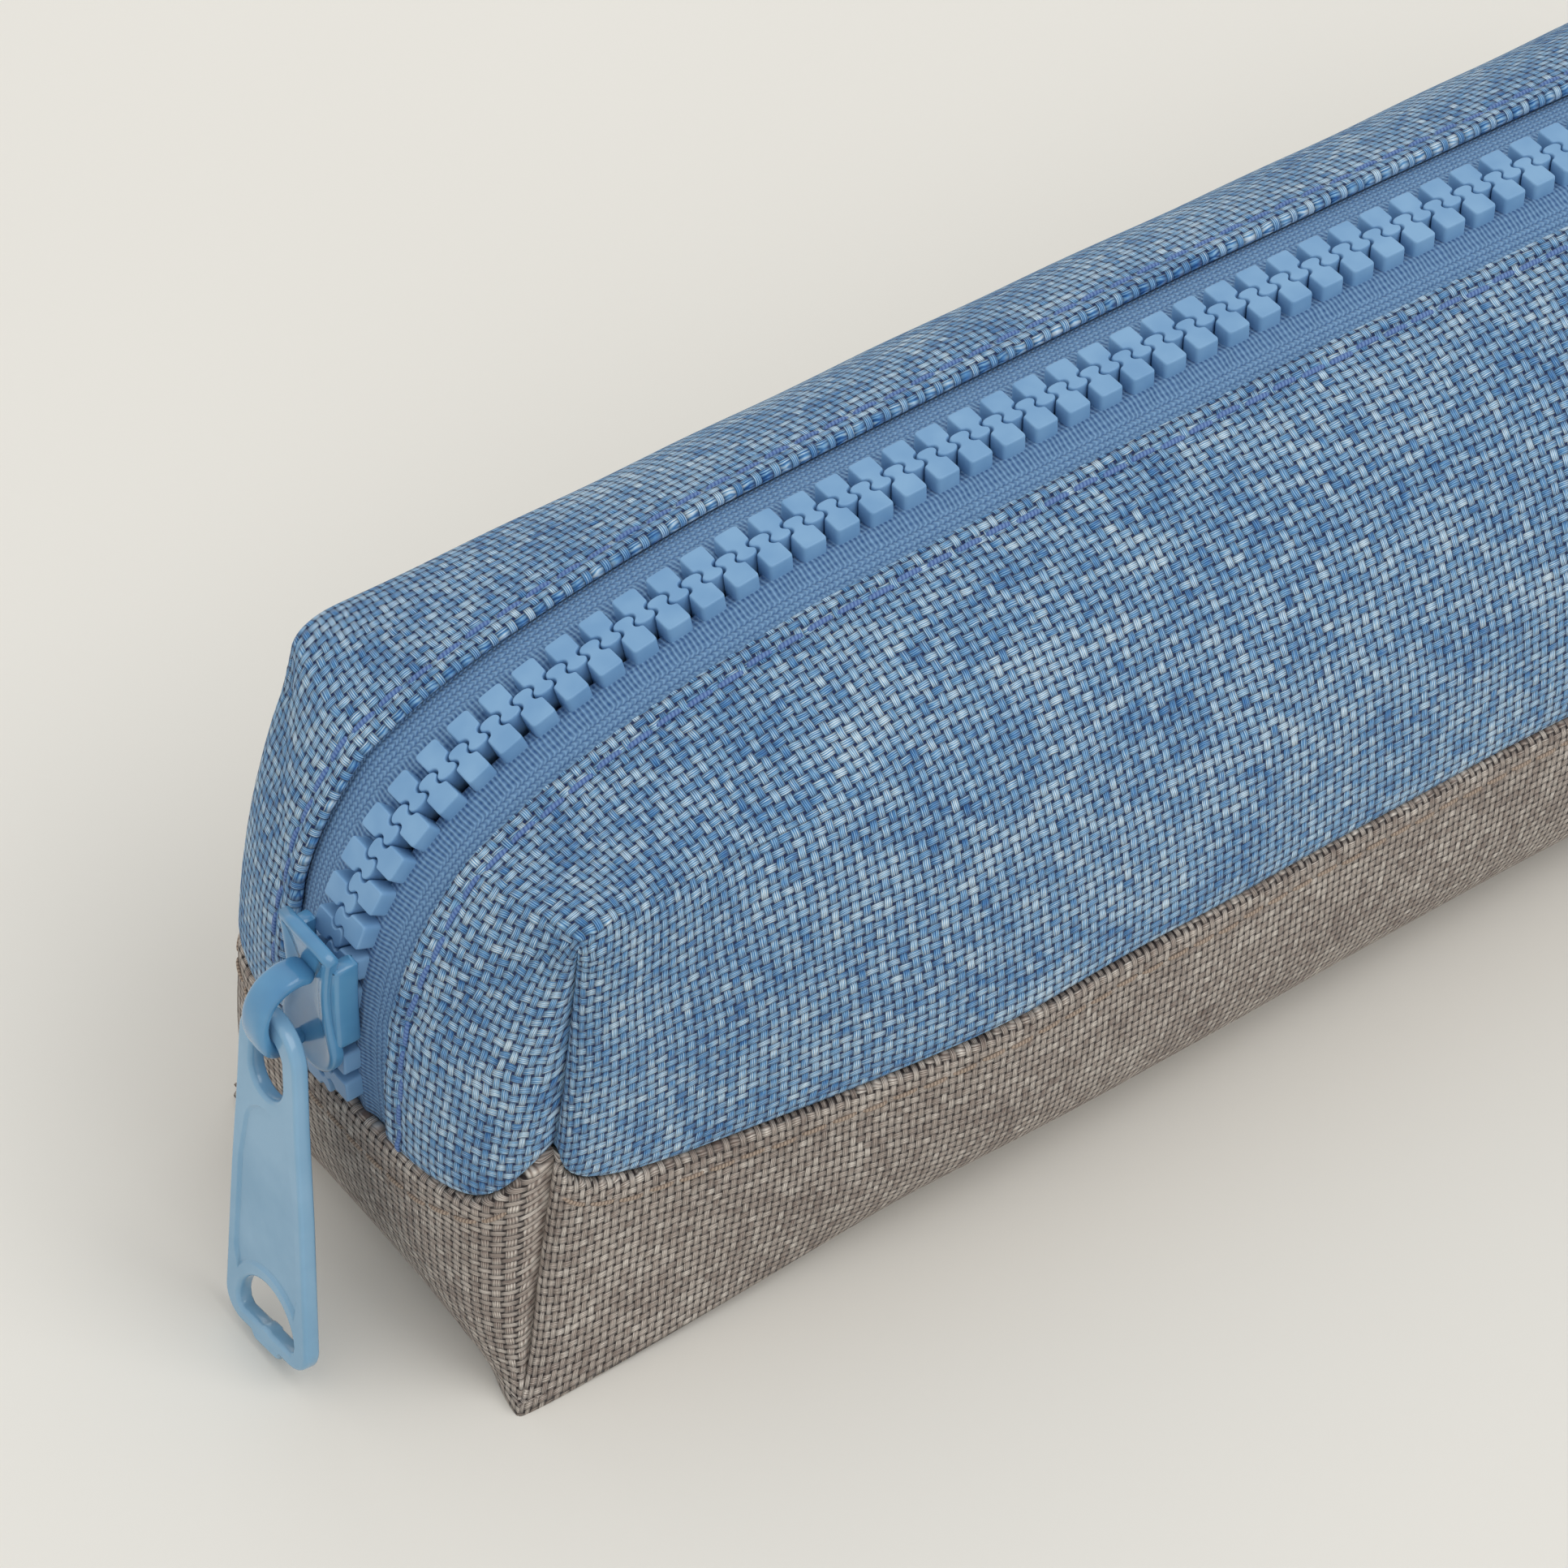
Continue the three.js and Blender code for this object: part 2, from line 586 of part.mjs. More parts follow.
function build() {
  const group = new THREE.Group();
  group.name = 'pencil_case';
  group.add(
    piece('base_panel', baseSheet(PANEL, SEAM_GAP / 2), 'grey'),
    piece('base_lining', baseSheet(BASE_LINING, 1.2), 'lining'),
    piece('base_topstitch', seamBand(THREAD, 2.2, 2.7), 'sand'),
    piece('seam_binding', seamBand(BINDING, -1.2, 6), 'binding'),
    ...walls(-1, 'right'),
    ...walls(1, 'left'),
    piece('slider_body', sliderBody(), 'metal', 0.6, 0.3),
    piece('pull_tab', pullTab(), 'metal', 0.6, 0.3),
  );
  // The slider reaches out past the front, so the origin is put under the middle of the whole.
  const box = new THREE.Box3().setFromObject(group);
  group.position.x = -(box.min.x + box.max.x) / 2;
  return group;
}

export default build();
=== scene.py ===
"""The looks of a soft zip pencil case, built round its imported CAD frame.

Shapes are worked out in millimetres, in the part's own terms: d is the distance from the
nearest corner plane, v the fraction of the half width and z the height.  Meshes are
written in metres, in the frame's coordinates.
"""

import math

import bmesh
import bpy
import numpy as np
from mathutils import Matrix, Vector
from mathutils.geometry import tessellate_polygon


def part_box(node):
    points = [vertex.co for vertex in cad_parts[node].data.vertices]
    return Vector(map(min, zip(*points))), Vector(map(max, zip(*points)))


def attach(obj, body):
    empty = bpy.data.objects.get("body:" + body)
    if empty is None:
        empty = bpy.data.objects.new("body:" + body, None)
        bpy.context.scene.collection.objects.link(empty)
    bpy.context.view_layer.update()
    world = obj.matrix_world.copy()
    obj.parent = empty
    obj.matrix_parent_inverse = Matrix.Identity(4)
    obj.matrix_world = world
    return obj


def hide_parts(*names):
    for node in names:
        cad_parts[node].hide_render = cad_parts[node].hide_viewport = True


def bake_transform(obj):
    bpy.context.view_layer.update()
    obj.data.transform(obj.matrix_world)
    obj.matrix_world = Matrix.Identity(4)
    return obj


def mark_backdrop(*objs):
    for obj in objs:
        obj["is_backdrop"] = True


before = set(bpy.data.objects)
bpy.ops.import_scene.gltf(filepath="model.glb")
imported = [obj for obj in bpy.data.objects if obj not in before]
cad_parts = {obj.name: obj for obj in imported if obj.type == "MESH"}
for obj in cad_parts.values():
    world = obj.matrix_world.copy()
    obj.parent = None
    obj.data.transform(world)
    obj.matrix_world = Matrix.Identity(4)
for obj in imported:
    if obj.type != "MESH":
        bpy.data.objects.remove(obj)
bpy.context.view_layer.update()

MM = 0.001
SIDES = {"right": -1, "left": 1}
ENDS = ((-1, 0), (1, -1))   # direction along x and index of the last station there

# ---- body, as in the CAD part ------------------------------------------------
HALF_LENGTH = 98.0
CORNER_HALF_W = 21.7
MID_HALF_W = 28.5
CORNER_H = 53.0
CROWN_H = 61.0
WIDEST_Z = 27.0
TOP_POWER = 2.2
BOTTOM_POWER = 3.6
END_POWER = 12.0            # slight rounding of the shoulders at the very ends
BULGE_RUN = 45.0
END_RUN = 36.0
ARCH_DROP = 1.4
SEAM_SIDE_Z = 26.5
SEAM_END_Z = 22.0
SEAM_DIP = 4.6              # the side seam dips towards the corners
SEAM_DIP_RUN = 55.0
SEAM_LIFT = 2.2             # and lifts again close to them
SEAM_LIFT_RUN = 8.0
SEAM_CORNER_RISE = 3.0
SEAM_CORNER_RUN = 2.2
SEAM_GAP = 0.24
LINING_GAP = 1.2
END_LOWER = [(1.5, 0), (-3.5, 2), (-5.8, 10), (-5.9, SEAM_END_Z)]
END_UPPER = [(-5.9, SEAM_END_Z), (-8.3, 46), (1.5, 55.6), (END_RUN, CROWN_H - ARCH_DROP)]
MIDDLE_X = sum(corner.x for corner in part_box("base_panel")) / 2 / MM

# ---- cloth -------------------------------------------------------------------
PANEL_T = 1.3
SEAM_ROLL = 1.9             # run over which the blue cloth rolls into the blue to grey seam
BASE_ROLL = 0.9             # the same for the grey cloth, which is pressed flat
FOLD_ROLL = 0.75            # the same at the folded edge beside the zip
NOSE_R = 4.5                # rounding of the top corners
GROOVE_DEPTH = 2.9          # the corner seams pull in
GROOVE_RUN = 5.0
GROOVE_TOP_Z = 52.4         # no groove above this height, full depth GROOVE_FADE below it
GROOVE_FADE = 6.0
GROOVE_AT_TABLE = 0.35      # share of that depth at the table
GROOVE_SHALLOW = (0.5, 5.0) # wide shallow hollow round the groove: depth and run
TIP_PUSH = 0.7              # the bottom corners poke out
TIP_REACH = (2.6, 3.2)      # fade of that push, upwards and along the cloth
CORNER_LEAN = (-3.0, 3.2)   # the corner seams lean inwards from the table to the top
LEAN_RUN = 11.0
GATHER_RUN = 4.2
GATHER_PASSES = 14
GATHER_SHARE = 0.7
SLOW_SWELL = 0.30
QUICK_SWELL = 0.10
STITCH_VALLEY = (0.32, 0.55)    # depth and half width of the furrow under the topstitch
VALLEY_LOW_Z = 24.0
YARN_PITCH = 0.86
YARN_HALF_W = 0.36          # of the pitch
WALL_LINING = (3.0, 3.5)    # depths of the inner layers below the skin
BASE_LINING = (1.6, 2.2)
BINDING_DEPTH = (4.0, 4.8)
BINDING_SPAN = (-6.0, 1.2)
TABLE_CLEARANCE = 0.1

# ---- zip ---------------------------------------------------------------------
FOLD_Y = 7.2
TOPSTITCH_Y = 9.2
TAPE_INNER_Y = 1.6
TAPE_HALF_W = 12.5
TAPE_DEPTH = (1.45, 1.95)
TAPE_TUCK = -1.0            # the tape ends this far below the seam
CORD = (0.34, 1.5, 0.85)    # rise, distance from the tape's edge and half width of its cord
FIRST_TOOTH = 1.6
LAST_TOOTH = 1.2
PARTED_SPREAD = 0.3
TOOTH_PITCH = 3.3
TOOTH_TOP = -0.35
TOOTH_UNDER = 2.6
PARTED_TEETH = 2

# ---- sewing threads: stitch length, gap and radius -------------------------------
WALL_STITCH = (2.6, 0.3, 0.21)
BASE_STITCH = (2.3, 0.35, 0.17)
BASE_STITCH_DROP = 2.4

# ---- slider and tab ------------------------------------------------------------
SLIDER_Z = 34.6
SLIDER_X = -6.5
PLATE_T = 1.2
PLATE_CLEAR = 0.3
FLANGE_INNER_Y = 2.35
CROWN_HALF_W = 1.45
CROWN_HALF_T = 0.66
CROWN_SIDES = 22
CROWN_FOOT = (0.6, 1.2)     # narrowing and sideways shift of the crown's lower foot
TAB_X = -11.0
TAB_TOP_Z = 34.3
TAB_BOTTOM_Z = 0.2
TAB_T = 1.5
TAB_PIVOT_DROP = 1.05
TAB_WELD_GAP = 0.002 * MM
TAB_FLAT_FACING = 0.97      # faces turned further along x than this are shaded flat
TAB_HANG = (7.8, -7.8)      # degrees the tab hangs outwards and to the right

# ---- picture ---------------------------------------------------------------------
CAMERA_TURN = (-127.113, 44.997, 1.548)     # azimuth, elevation and roll in degrees
CAMERA_TARGET = (42.43, 4.91, 25.0)         # mm, along x from the front corner seams
CAMERA_AWAY = 0.525
FOCAL_WIDTHS = 4.002                        # focal length in sensor widths
WORLD_STRENGTH = 0.82
KEY_WATTS = 19.0
KEY_SIZE = 1.8
KEY_PLACE = (0.7, -1.5, 2.3)
KEY_AIM = (-0.03, 0, 0.02)
TABLE_HALF = 3.0


def mix(a, b, t):
    return a + (b - a) * t


def smooth(t):
    t = np.clip(t, 0, 1)
    return t * t * (3 - 2 * t)


def bezier(points, t):
    s = 1 - t
    weights = [s**3, 3 * s * s * t, 3 * s * t * t, t**3]
    return [sum(w * p[k] for w, p in zip(weights, points)) for k in (0, 1)]


# ==== shape of the stuffed case =================================================
def top_height(v):
    return mix(CORNER_H, CROWN_H, 1 - v * v)


def half_width(d):
    return mix(CORNER_HALF_W, MID_HALF_W, smooth(d / BULGE_RUN))


def power_norm(v, q, power):
    return (np.abs(v) ** power + np.abs(q) ** power) ** (1 / power)


def section(face, d, v, z):
    """Cross-section at distance d: a soft box at the ends, a fat oval in the middle."""
    g = smooth(d / BULGE_RUN)
    if face == "top":
        q = np.ones_like(v)
        flat_z = top_height(v)
    elif face == "bottom":
        q = -np.ones_like(v)
        flat_z = np.zeros_like(v)
    else:
        reach = np.where(z > WIDEST_Z, CORNER_H - WIDEST_Z, WIDEST_Z)
        q = (z - WIDEST_Z) / reach
        flat_z = z
    oval = power_norm(v, q, np.where(q > 0, TOP_POWER, BOTTOM_POWER))
    oval_reach = np.where(q > 0, CROWN_H - WIDEST_Z, WIDEST_Z)
    soft = np.where(q > 0, power_norm(v, q, END_POWER) / np.maximum(np.abs(v), np.abs(q)), 1)
    box_z = np.where(q > 0, WIDEST_Z + (flat_z - WIDEST_Z) / soft, flat_z)
    y = mix(CORNER_HALF_W * v / soft, MID_HALF_W * v / oval, g)
    height = mix(box_z, WIDEST_Z + oval_reach * q / oval, g)
    return y, height


def end_roll(d, z):
    """Shift of the centre line of an end from the sharp box, as (outwards x, up z)."""
    low = bezier(END_LOWER, np.clip(z / SEAM_END_Z, 0, 1))
    t = (z - SEAM_END_Z + d) / (CROWN_H - SEAM_END_Z + END_RUN)
    high = bezier(END_UPPER, t)
    below = z < SEAM_END_Z
    return np.where(below, low[0] - d, high[0] - d), np.where(below, low[1] - z, high[1] - z)


def roll_x(shift, spread):
    return np.where(shift < 0, shift * spread**0.45, shift * spread)


def round_nose(x, height, d, v, z, spread):
    """Rounds the sharp top corner of the box with radius NOSE_R, near the corner seams only."""
    a = np.clip(1 - d / NOSE_R, 0, 1)
    b = np.clip(1 - (top_height(v) - z) / NOSE_R, 0, 1)
    norm = np.maximum(np.hypot(a, b), 1e-6)
    scale = np.maximum(a, b) / norm
    weight = (1 - spread) ** 2
    return x + NOSE_R * a * (1 - scale) * weight, height - NOSE_R * b * (1 - scale) * weight


def plain_skin(face, d, v, z):
    spread = np.maximum(0, 1 - v * v)
    if face == "end":
        shift, lift = end_roll(np.zeros_like(z), z / top_height(v) * CROWN_H)
        q = np.clip((z - WIDEST_Z) / (top_height(v) - WIDEST_Z), 0, 1)
        soft = power_norm(v, q, END_POWER) / np.maximum(np.abs(v), q)
        soft = np.where(z > WIDEST_Z, soft, 1)
        height = np.where(z > WIDEST_Z, WIDEST_Z + (z - WIDEST_Z) / soft, z)
        x, height = round_nose(roll_x(shift, spread), height + lift * spread, d, v, z, spread)
        return x, CORNER_HALF_W * v / soft, height
    y, height = section(face, d, v, z)
    if face == "bottom":
        return d + END_LOWER[0][0] * smooth(1 - d / 10) * spread, y, height
    if face == "side":
        x, height = round_nose(d, height, d, v, z, spread)
        return x, y, height
    far = np.clip((HALF_LENGTH - d) / (HALF_LENGTH - END_RUN), 0, 1)
    shift, lift = end_roll(np.minimum(d, END_RUN), np.full_like(d, CROWN_H))
    rolled = d < END_RUN
    x = d + np.where(rolled, roll_x(shift, spread), 0)
    height = height + np.where(rolled, lift, -ARCH_DROP * far * far) * spread
    x, height = round_nose(x, height, d, v, top_height(v), spread)
    return x, y, height


def seam_on_end(v):
    near = (1 - np.abs(v)) * CORNER_HALF_W
    rise = SEAM_CORNER_RISE * np.exp(-near / SEAM_CORNER_RUN)
    return SEAM_END_Z + (SEAM_SIDE_Z - SEAM_DIP + SEAM_LIFT - SEAM_END_Z) * v**4 + rise


def seam_on_side(d):
    dip = SEAM_DIP * (1 - smooth(d / SEAM_DIP_RUN)) - SEAM_LIFT * np.exp(-((d / SEAM_LIFT_RUN) ** 2))
    return SEAM_SIDE_Z - dip + SEAM_CORNER_RISE * np.exp(-d / SEAM_CORNER_RUN)


def to_world(face, x, v, z):
    end = np.where(x < 0, -1.0, 1.0)
    along, y, height = plain_skin(face, HALF_LENGTH - np.abs(x), v, z)
    return np.stack([end * (HALF_LENGTH - along), y, height], -1)


def skin_normals(face, x, v, z):
    """Outward unit normals of the undisplaced skin, from small steps on either side."""
    def slope(dx=0.0, dv=0.0, dz=0.0):
        return to_world(face, x + dx, v + dv, z + dz) - to_world(face, x - dx, v - dv, z - dz)

    step, v_step = 0.05, 0.002
    first = slope(dv=v_step) if face == "end" else slope(dx=step)
    second = slope(dv=v_step) if face in ("top", "bottom") else slope(dz=step)
    normal = np.cross(first, second)
    normal /= np.maximum(np.linalg.norm(normal, axis=-1, keepdims=True), 1e-9)
    zero = 0 * v
    outward = np.stack({
        "top": (0.6 * np.sign(x) * (np.abs(x) > 60), zero, zero + 1),
        "bottom": (zero, zero, zero - 1),
        "side": (zero, np.sign(v), zero),
        "end": (np.sign(x), zero, zero),
    }[face], -1)
    facing = np.sign((normal * outward).sum(-1, keepdims=True))
    return normal * np.where(facing == 0, 1, facing)


def undulation(p):
    """Slow swells and small ripples of cloth over a soft filling, in mm outwards."""
    x, y, z = p[..., 0], p[..., 1], p[..., 2]
    slow = np.sin(x / 13.1 + 0.9 * np.sin(z / 11.0) + 1.3) * np.sin(y / 9.3 + z / 15.0 + 0.4)
    quick = np.sin(x / 4.7 + y / 6.1 + 2.1) * np.sin(z / 5.3 - x / 8.9) * np.sin(y / 5.9 + 0.7)
    return SLOW_SWELL * slow + QUICK_SWELL * quick


def corner_distance(face, d, v):
    across = (1 - np.abs(v)) * half_width(d)
    return {"side": d, "end": across}.get(face, np.hypot(d, across))


def cusp(s, run):
    """1 at a rolled-in edge, falling to 0 where the roll meets the flat, like a quarter round."""
    return 1 - np.sqrt(1 - (1 - np.clip(s / run, 0, 1)) ** 2)


def skin(face, x, v, z):
    """Outer surface with the seams pulled in, in world millimetres without the frame shift."""
    point = to_world(face, x, v, z)
    normal = skin_normals(face, x, v, z)
    d = HALF_LENGTH - np.abs(x)
    s = corner_distance(face, d, v)
    height = point[..., 2]
    y = np.abs(point[..., 1])
    calm = smooth((height - 1.5) / 8) * smooth((y - FOLD_Y) / 5)
    valley = STITCH_VALLEY[0] * np.exp(-(((y - TOPSTITCH_Y) / STITCH_VALLEY[1]) ** 2))
    valley = valley * (face in ("top", "end")) * (height > VALLEY_LOW_Z)
    point = point + normal * (undulation(point) * calm - valley)[..., None]
    from_table = mix(GROOVE_AT_TABLE, 1, smooth(height / GROOVE_RUN))
    seam_pull = smooth((GROOVE_TOP_Z - height) / GROOVE_FADE) * from_table
    pull = GROOVE_DEPTH * cusp(s, GROOVE_RUN) + GROOVE_SHALLOW[0] * np.exp(-((s / GROOVE_SHALLOW[1]) ** 2))
    push = TIP_PUSH * np.exp(-height / TIP_REACH[0]) * np.exp(-s / TIP_REACH[1])
    inward = np.stack([-np.sign(x), -np.sign(v), np.zeros_like(v)], -1) / math.sqrt(2)
    away = np.where(np.abs(v) > 0.3, 1.0, 0.0)
    lean = mix(*CORNER_LEAN, height / CORNER_H) * np.exp(-((s / LEAN_RUN) ** 2))
    point = point + np.stack([-np.sign(x) * lean, 0 * lean, 0 * lean], -1)
    return point + inward * ((pull * seam_pull - push) * away)[..., None]


# ==== grids of places, and the sheets made from them ================================
NEAR = np.array([0, 0.12, 0.35, 0.75, 1.3, 2.0, 3.0])
CORNER = np.array([0, 0.12, 0.35, 0.7, 1.15, 1.7, 2.35, 3.1, 4.1, 5.4])


def stations():
    near = np.concatenate([CORNER, [7.0, 9.0]])
    half = np.concatenate([near, np.linspace(10.9, HALF_LENGTH, 47)])
    return np.concatenate([half[:-1] - HALF_LENGTH, [0], (HALF_LENGTH - half[:-1])[::-1]])


def spaced(low, high, start, middle, end):
    """Values from low to high: fixed offsets at both ends and an even stretch between."""
    low, high = np.broadcast_arrays(np.asarray(low, float), np.asarray(high, float))
    first = low[..., None] + start
    last = high[..., None] - end[::-1]
    t = np.arange(1, middle + 1) / (middle + 1)
    between = mix(first[..., -1:], last[..., :1], t)
    return np.concatenate([first, between, last], -1)


def wall_columns(x, y_inner):
    width = half_width(HALF_LENGTH - np.abs(x))
    return spaced(np.full_like(width, y_inner), width, NEAR, 4, CORNER) / width[..., None]


def wall_rows(low, high):
    return spaced(low, high, NEAR, 8, np.array([0, 0.7, 1.5, 2.5, 3.8]))


def lengths(points, axis):
    """Distance walked along a grid axis, starting from 0."""
    step = np.linalg.norm(np.diff(points, axis=axis), axis=-1)
    zero = np.zeros_like(np.take(step, [0], axis=axis))
    return np.concatenate([zero, np.cumsum(step, axis=axis)], axis=axis)


class Patch:
    """A grid of places on one face, with its outer points, weave coordinates and edge distance."""

    def __init__(self, face, x, v, z, edge):
        x, v, z, edge = np.broadcast_arrays(*(np.asarray(a, float) for a in (x, v, z, edge)))
        self.key = to_world(face, x, v, z)
        self.points = skin(face, x, v, z)
        self.edge = edge
        self.weave = None
        across = np.diff(self.key, axis=1)[:-1]
        along = np.diff(self.key, axis=0)[:, :-1]
        outward = skin_normals(face, x, v, z)[:-1, :-1]
        self.flip = float((np.cross(along, across) * outward).sum()) < 0

    def walked(self, axis):
        return lengths(self.key, axis)


def wall_patches(side, y_inner, gap):
    """Top, side and both ends of one half, as one piece of cloth."""
    x = stations()[:, None]
    columns = wall_columns(stations(), y_inner)
    low = seam_on_side(HALF_LENGTH - np.abs(stations())) + gap
    rows = wall_rows(low, np.full_like(low, CORNER_H))
    width = half_width(HALF_LENGTH - np.abs(x))
    top = Patch("top", x, side * columns, 0, (columns * width - y_inner) / FOLD_ROLL)
    long = Patch("side", x, side, rows, (rows - low[:, None]) / SEAM_ROLL)
    middle = len(x) // 2
    across = top.walked(1)
    along = top.walked(0)
    along = along - along[middle]
    top.weave = np.stack([along, across + y_inner], -1)
    side_along = long.walked(0)[:, ::-1]
    side_along = side_along - side_along[middle]
    down = lengths(long.key[:, ::-1], 1)
    long.weave = np.stack([side_along, across[:, -1:] + y_inner + down], -1)[:, ::-1]
    patches = [top, long]
    for end, station in ENDS:
        v = columns[station]
        low = seam_on_end(v) + gap
        z = wall_rows(low, top_height(v))
        from_fold = (v * CORNER_HALF_W - y_inner)[:, None] / FOLD_ROLL
        edge = np.minimum((z - low[:, None]) / SEAM_ROLL, from_fold)
        patch = Patch("end", end * HALF_LENGTH, side * v[:, None], z, edge)
        down = lengths(patch.key[:, ::-1], 1)[:, ::-1]
        over = lengths(patch.key, 0) + y_inner
        patch.weave = np.stack([along[station][:, None] + end * down, over], -1)
        patches.append(patch)
    return patches


def base_patches(gap):
    """Underside, lower sides and lower ends, as one piece of cloth."""
    x = stations()[:, None]
    v = spaced(-CORNER_HALF_W, CORNER_HALF_W, CORNER, 13, CORNER) / CORNER_HALF_W
    under = Patch("bottom", x, v[None, :], 0, 1)
    middle = len(x) // 2
    along = under.walked(0)
    along = along - along[middle]
    across = under.walked(1)
    across = across - across[:, len(v) // 2][:, None]
    under.weave = np.stack([along, across], -1)
    patches = [under]
    rise = np.array([0, 0.8, 1.8, 3.0])
    for side, column in ENDS:
        high = seam_on_side(HALF_LENGTH - np.abs(stations())) - gap
        z = spaced(np.zeros_like(high), high, rise, 7, NEAR)
        patch = Patch("side", x, side, z, (high[:, None] - z) / BASE_ROLL)
        up = patch.walked(1)
        over = across[:, column][:, None] + side * up
        patch.weave = np.stack([along[:, column][:, None] + 0 * up, over], -1)
        patches.append(patch)
    for end, station in ENDS:
        high = seam_on_end(v) - gap
        z = spaced(np.zeros_like(high), high, rise, 7, NEAR)
        patch = Patch("end", end * HALF_LENGTH, v[:, None], z, (high[:, None] - z) / BASE_ROLL)
        up = patch.walked(1)
        over = across[station][:, None] + 0 * up
        patch.weave = np.stack([along[station][:, None] + end * up, over], -1)
        patches.append(patch)
    return patches


def ribbon_patches(side, y_values, low_gap):
    """A band along the top and down both ends, such as a zip tape."""
    x = np.linspace(-HALF_LENGTH, HALF_LENGTH, 107)[:, None]
    width = half_width(HALF_LENGTH - np.abs(x))
    y_values = np.asarray(y_values, float)
    columns = y_values[None, :] / width
    edge = (y_values - y_values[0])[None, :]
    top = Patch("top", x, side * columns, 0, edge)
    middle = len(x) // 2
    along = top.walked(0)
    along = along - along[middle]
    top.weave = np.stack([along, y_values[None, :] + 0 * along], -1)
    patches = [top]
    for end, station in ENDS:
        v = columns[station]
        z = mix((seam_on_end(v) + low_gap)[:, None], top_height(v)[:, None], np.linspace(0, 1, 22))
        patch = Patch("end", end * HALF_LENGTH, side * v[:, None], z, edge.T)
        down = lengths(patch.key[:, ::-1], 1)[:, ::-1]
        patch.weave = np.stack([along[station][:, None] + end * down, y_values[:, None] + 0 * down], -1)
        patches.append(patch)
    return patches


def band_patches(low, high, rows):
    """A band round the case, between two distances above the blue to grey seam."""
    x = stations()[:, None]
    t = np.linspace(low, high, rows)
    v = spaced(-CORNER_HALF_W, CORNER_HALF_W, CORNER, 13, CORNER) / CORNER_HALF_W
    patches = []
    for side in (-1, 1):
        z = seam_on_side(HALF_LENGTH - np.abs(stations()))[:, None] + t
        patch = Patch("side", x, side, z, 1)
        patch.weave = np.stack([x + 0 * z, z], -1)
        patches.append(patch)
    for end in (-1, 1):
        z = seam_on_end(v)[:, None] + t
        patch = Patch("end", end * HALF_LENGTH, v[:, None], z, 1)
        patch.weave = np.stack([v[:, None] * CORNER_HALF_W + 0 * z, z], -1)
        patches.append(patch)
    return patches


def weld(patches):
    """Joins patches that share edge places: points, edge distances, quads, weave per corner."""
    keys = np.concatenate([p.key.reshape(-1, 3) for p in patches])
    points = np.concatenate([p.points.reshape(-1, 3) for p in patches])
    edges = np.concatenate([p.edge.reshape(-1) for p in patches])
    cells = np.round(keys * 97.31).astype(int)
    _, ids = np.unique(cells, axis=0, return_inverse=True)
    ids = ids.reshape(-1)
    count = np.bincount(ids).astype(float)
    welded = np.stack([np.bincount(ids, points[:, k]) / count for k in range(3)], -1)
    edge = np.full(len(count), np.inf)
    np.minimum.at(edge, ids, edges)
    quads, weaves, start = [], [], 0
    for patch in patches:
        rows, columns = patch.edge.shape
        index = np.arange(rows * columns).reshape(rows, columns)
        corners = [index[:-1, :-1], index[1:, :-1], index[1:, 1:], index[:-1, 1:]]
        quad = np.stack([c.reshape(-1) for c in corners], -1)
        if patch.flip:
            quad = quad[:, ::-1]
        quads.append(ids[quad + start])
        weaves.append(patch.weave.reshape(-1, 2)[quad])
        start += rows * columns
    return welded, edge, np.concatenate(quads), np.concatenate(weaves)


def point_normals(points, quads):
    a, b, c, d = (points[quads[:, k]] for k in range(4))
    normal = np.cross(c - a, d - b)
    total = np.zeros_like(points)
    for k in range(4):
        np.add.at(total, quads[:, k], normal)
    return total / np.maximum(np.linalg.norm(total, axis=1, keepdims=True), 1e-9)


def relaxed(points, quads):
    """Evens out the gather where three faces meet at each top corner."""
    top_corner = np.array([HALF_LENGTH - CORNER_LEAN[1], CORNER_HALF_W, CORNER_H])
    distance = np.linalg.norm(np.abs(points) - top_corner, axis=1)
    weight = np.exp(-((distance / GATHER_RUN) ** 4))[:, None] * GATHER_SHARE
    pairs = np.concatenate([quads[:, [k, (k + 1) % 4]] for k in range(4)])
    count = np.bincount(pairs[:, 0], minlength=len(points))
    for _ in range(GATHER_PASSES):
        total = [np.bincount(pairs[:, 0], points[pairs[:, 1], k], len(points)) for k in range(3)]
        mean = np.stack(total, -1) / np.maximum(count, 1)[:, None]
        points = points + (mean - points) * weight
    return points


def away_from_core(points):
    """Directions from a small box in the middle of the case."""
    core = np.clip(points, [22 - HALF_LENGTH, -8, 22], [HALF_LENGTH - 22, 8, 32])
    away = points - core
    return away / np.linalg.norm(away, axis=1, keepdims=True)


def border(quads):
    """Edges that belong to one quad only, in that quad's direction."""
    edges = np.concatenate([quads[:, [k, (k + 1) % 4]] for k in range(4)])
    present = {tuple(e) for e in edges.tolist()}
    return [e for e in present if (e[1], e[0]) not in present]


def make_mesh(name, points, faces, material, weave=None, flat=()):
    """A mesh object from points in mm.  weave holds one (p, q) pair for each face corner."""
    mesh = bpy.data.meshes.new(name)
    world = np.asarray(points, float) + [MIDDLE_X, 0, 0]
    mesh.from_pydata((world * MM).tolist(), [], faces)
    if weave is not None:
        layer = mesh.uv_layers.new(name="weave")
        layer.data.foreach_set("uv", np.asarray(weave, np.float32).reshape(-1))
    mesh.polygons.foreach_set("use_smooth", [True] * len(mesh.polygons))
    for index in flat:
        mesh.polygons[index].use_smooth = False
    mesh.materials.append(material)
    mesh.update()
    piece = bpy.data.objects.new(name, mesh)
    bpy.context.scene.collection.objects.link(piece)
    return piece


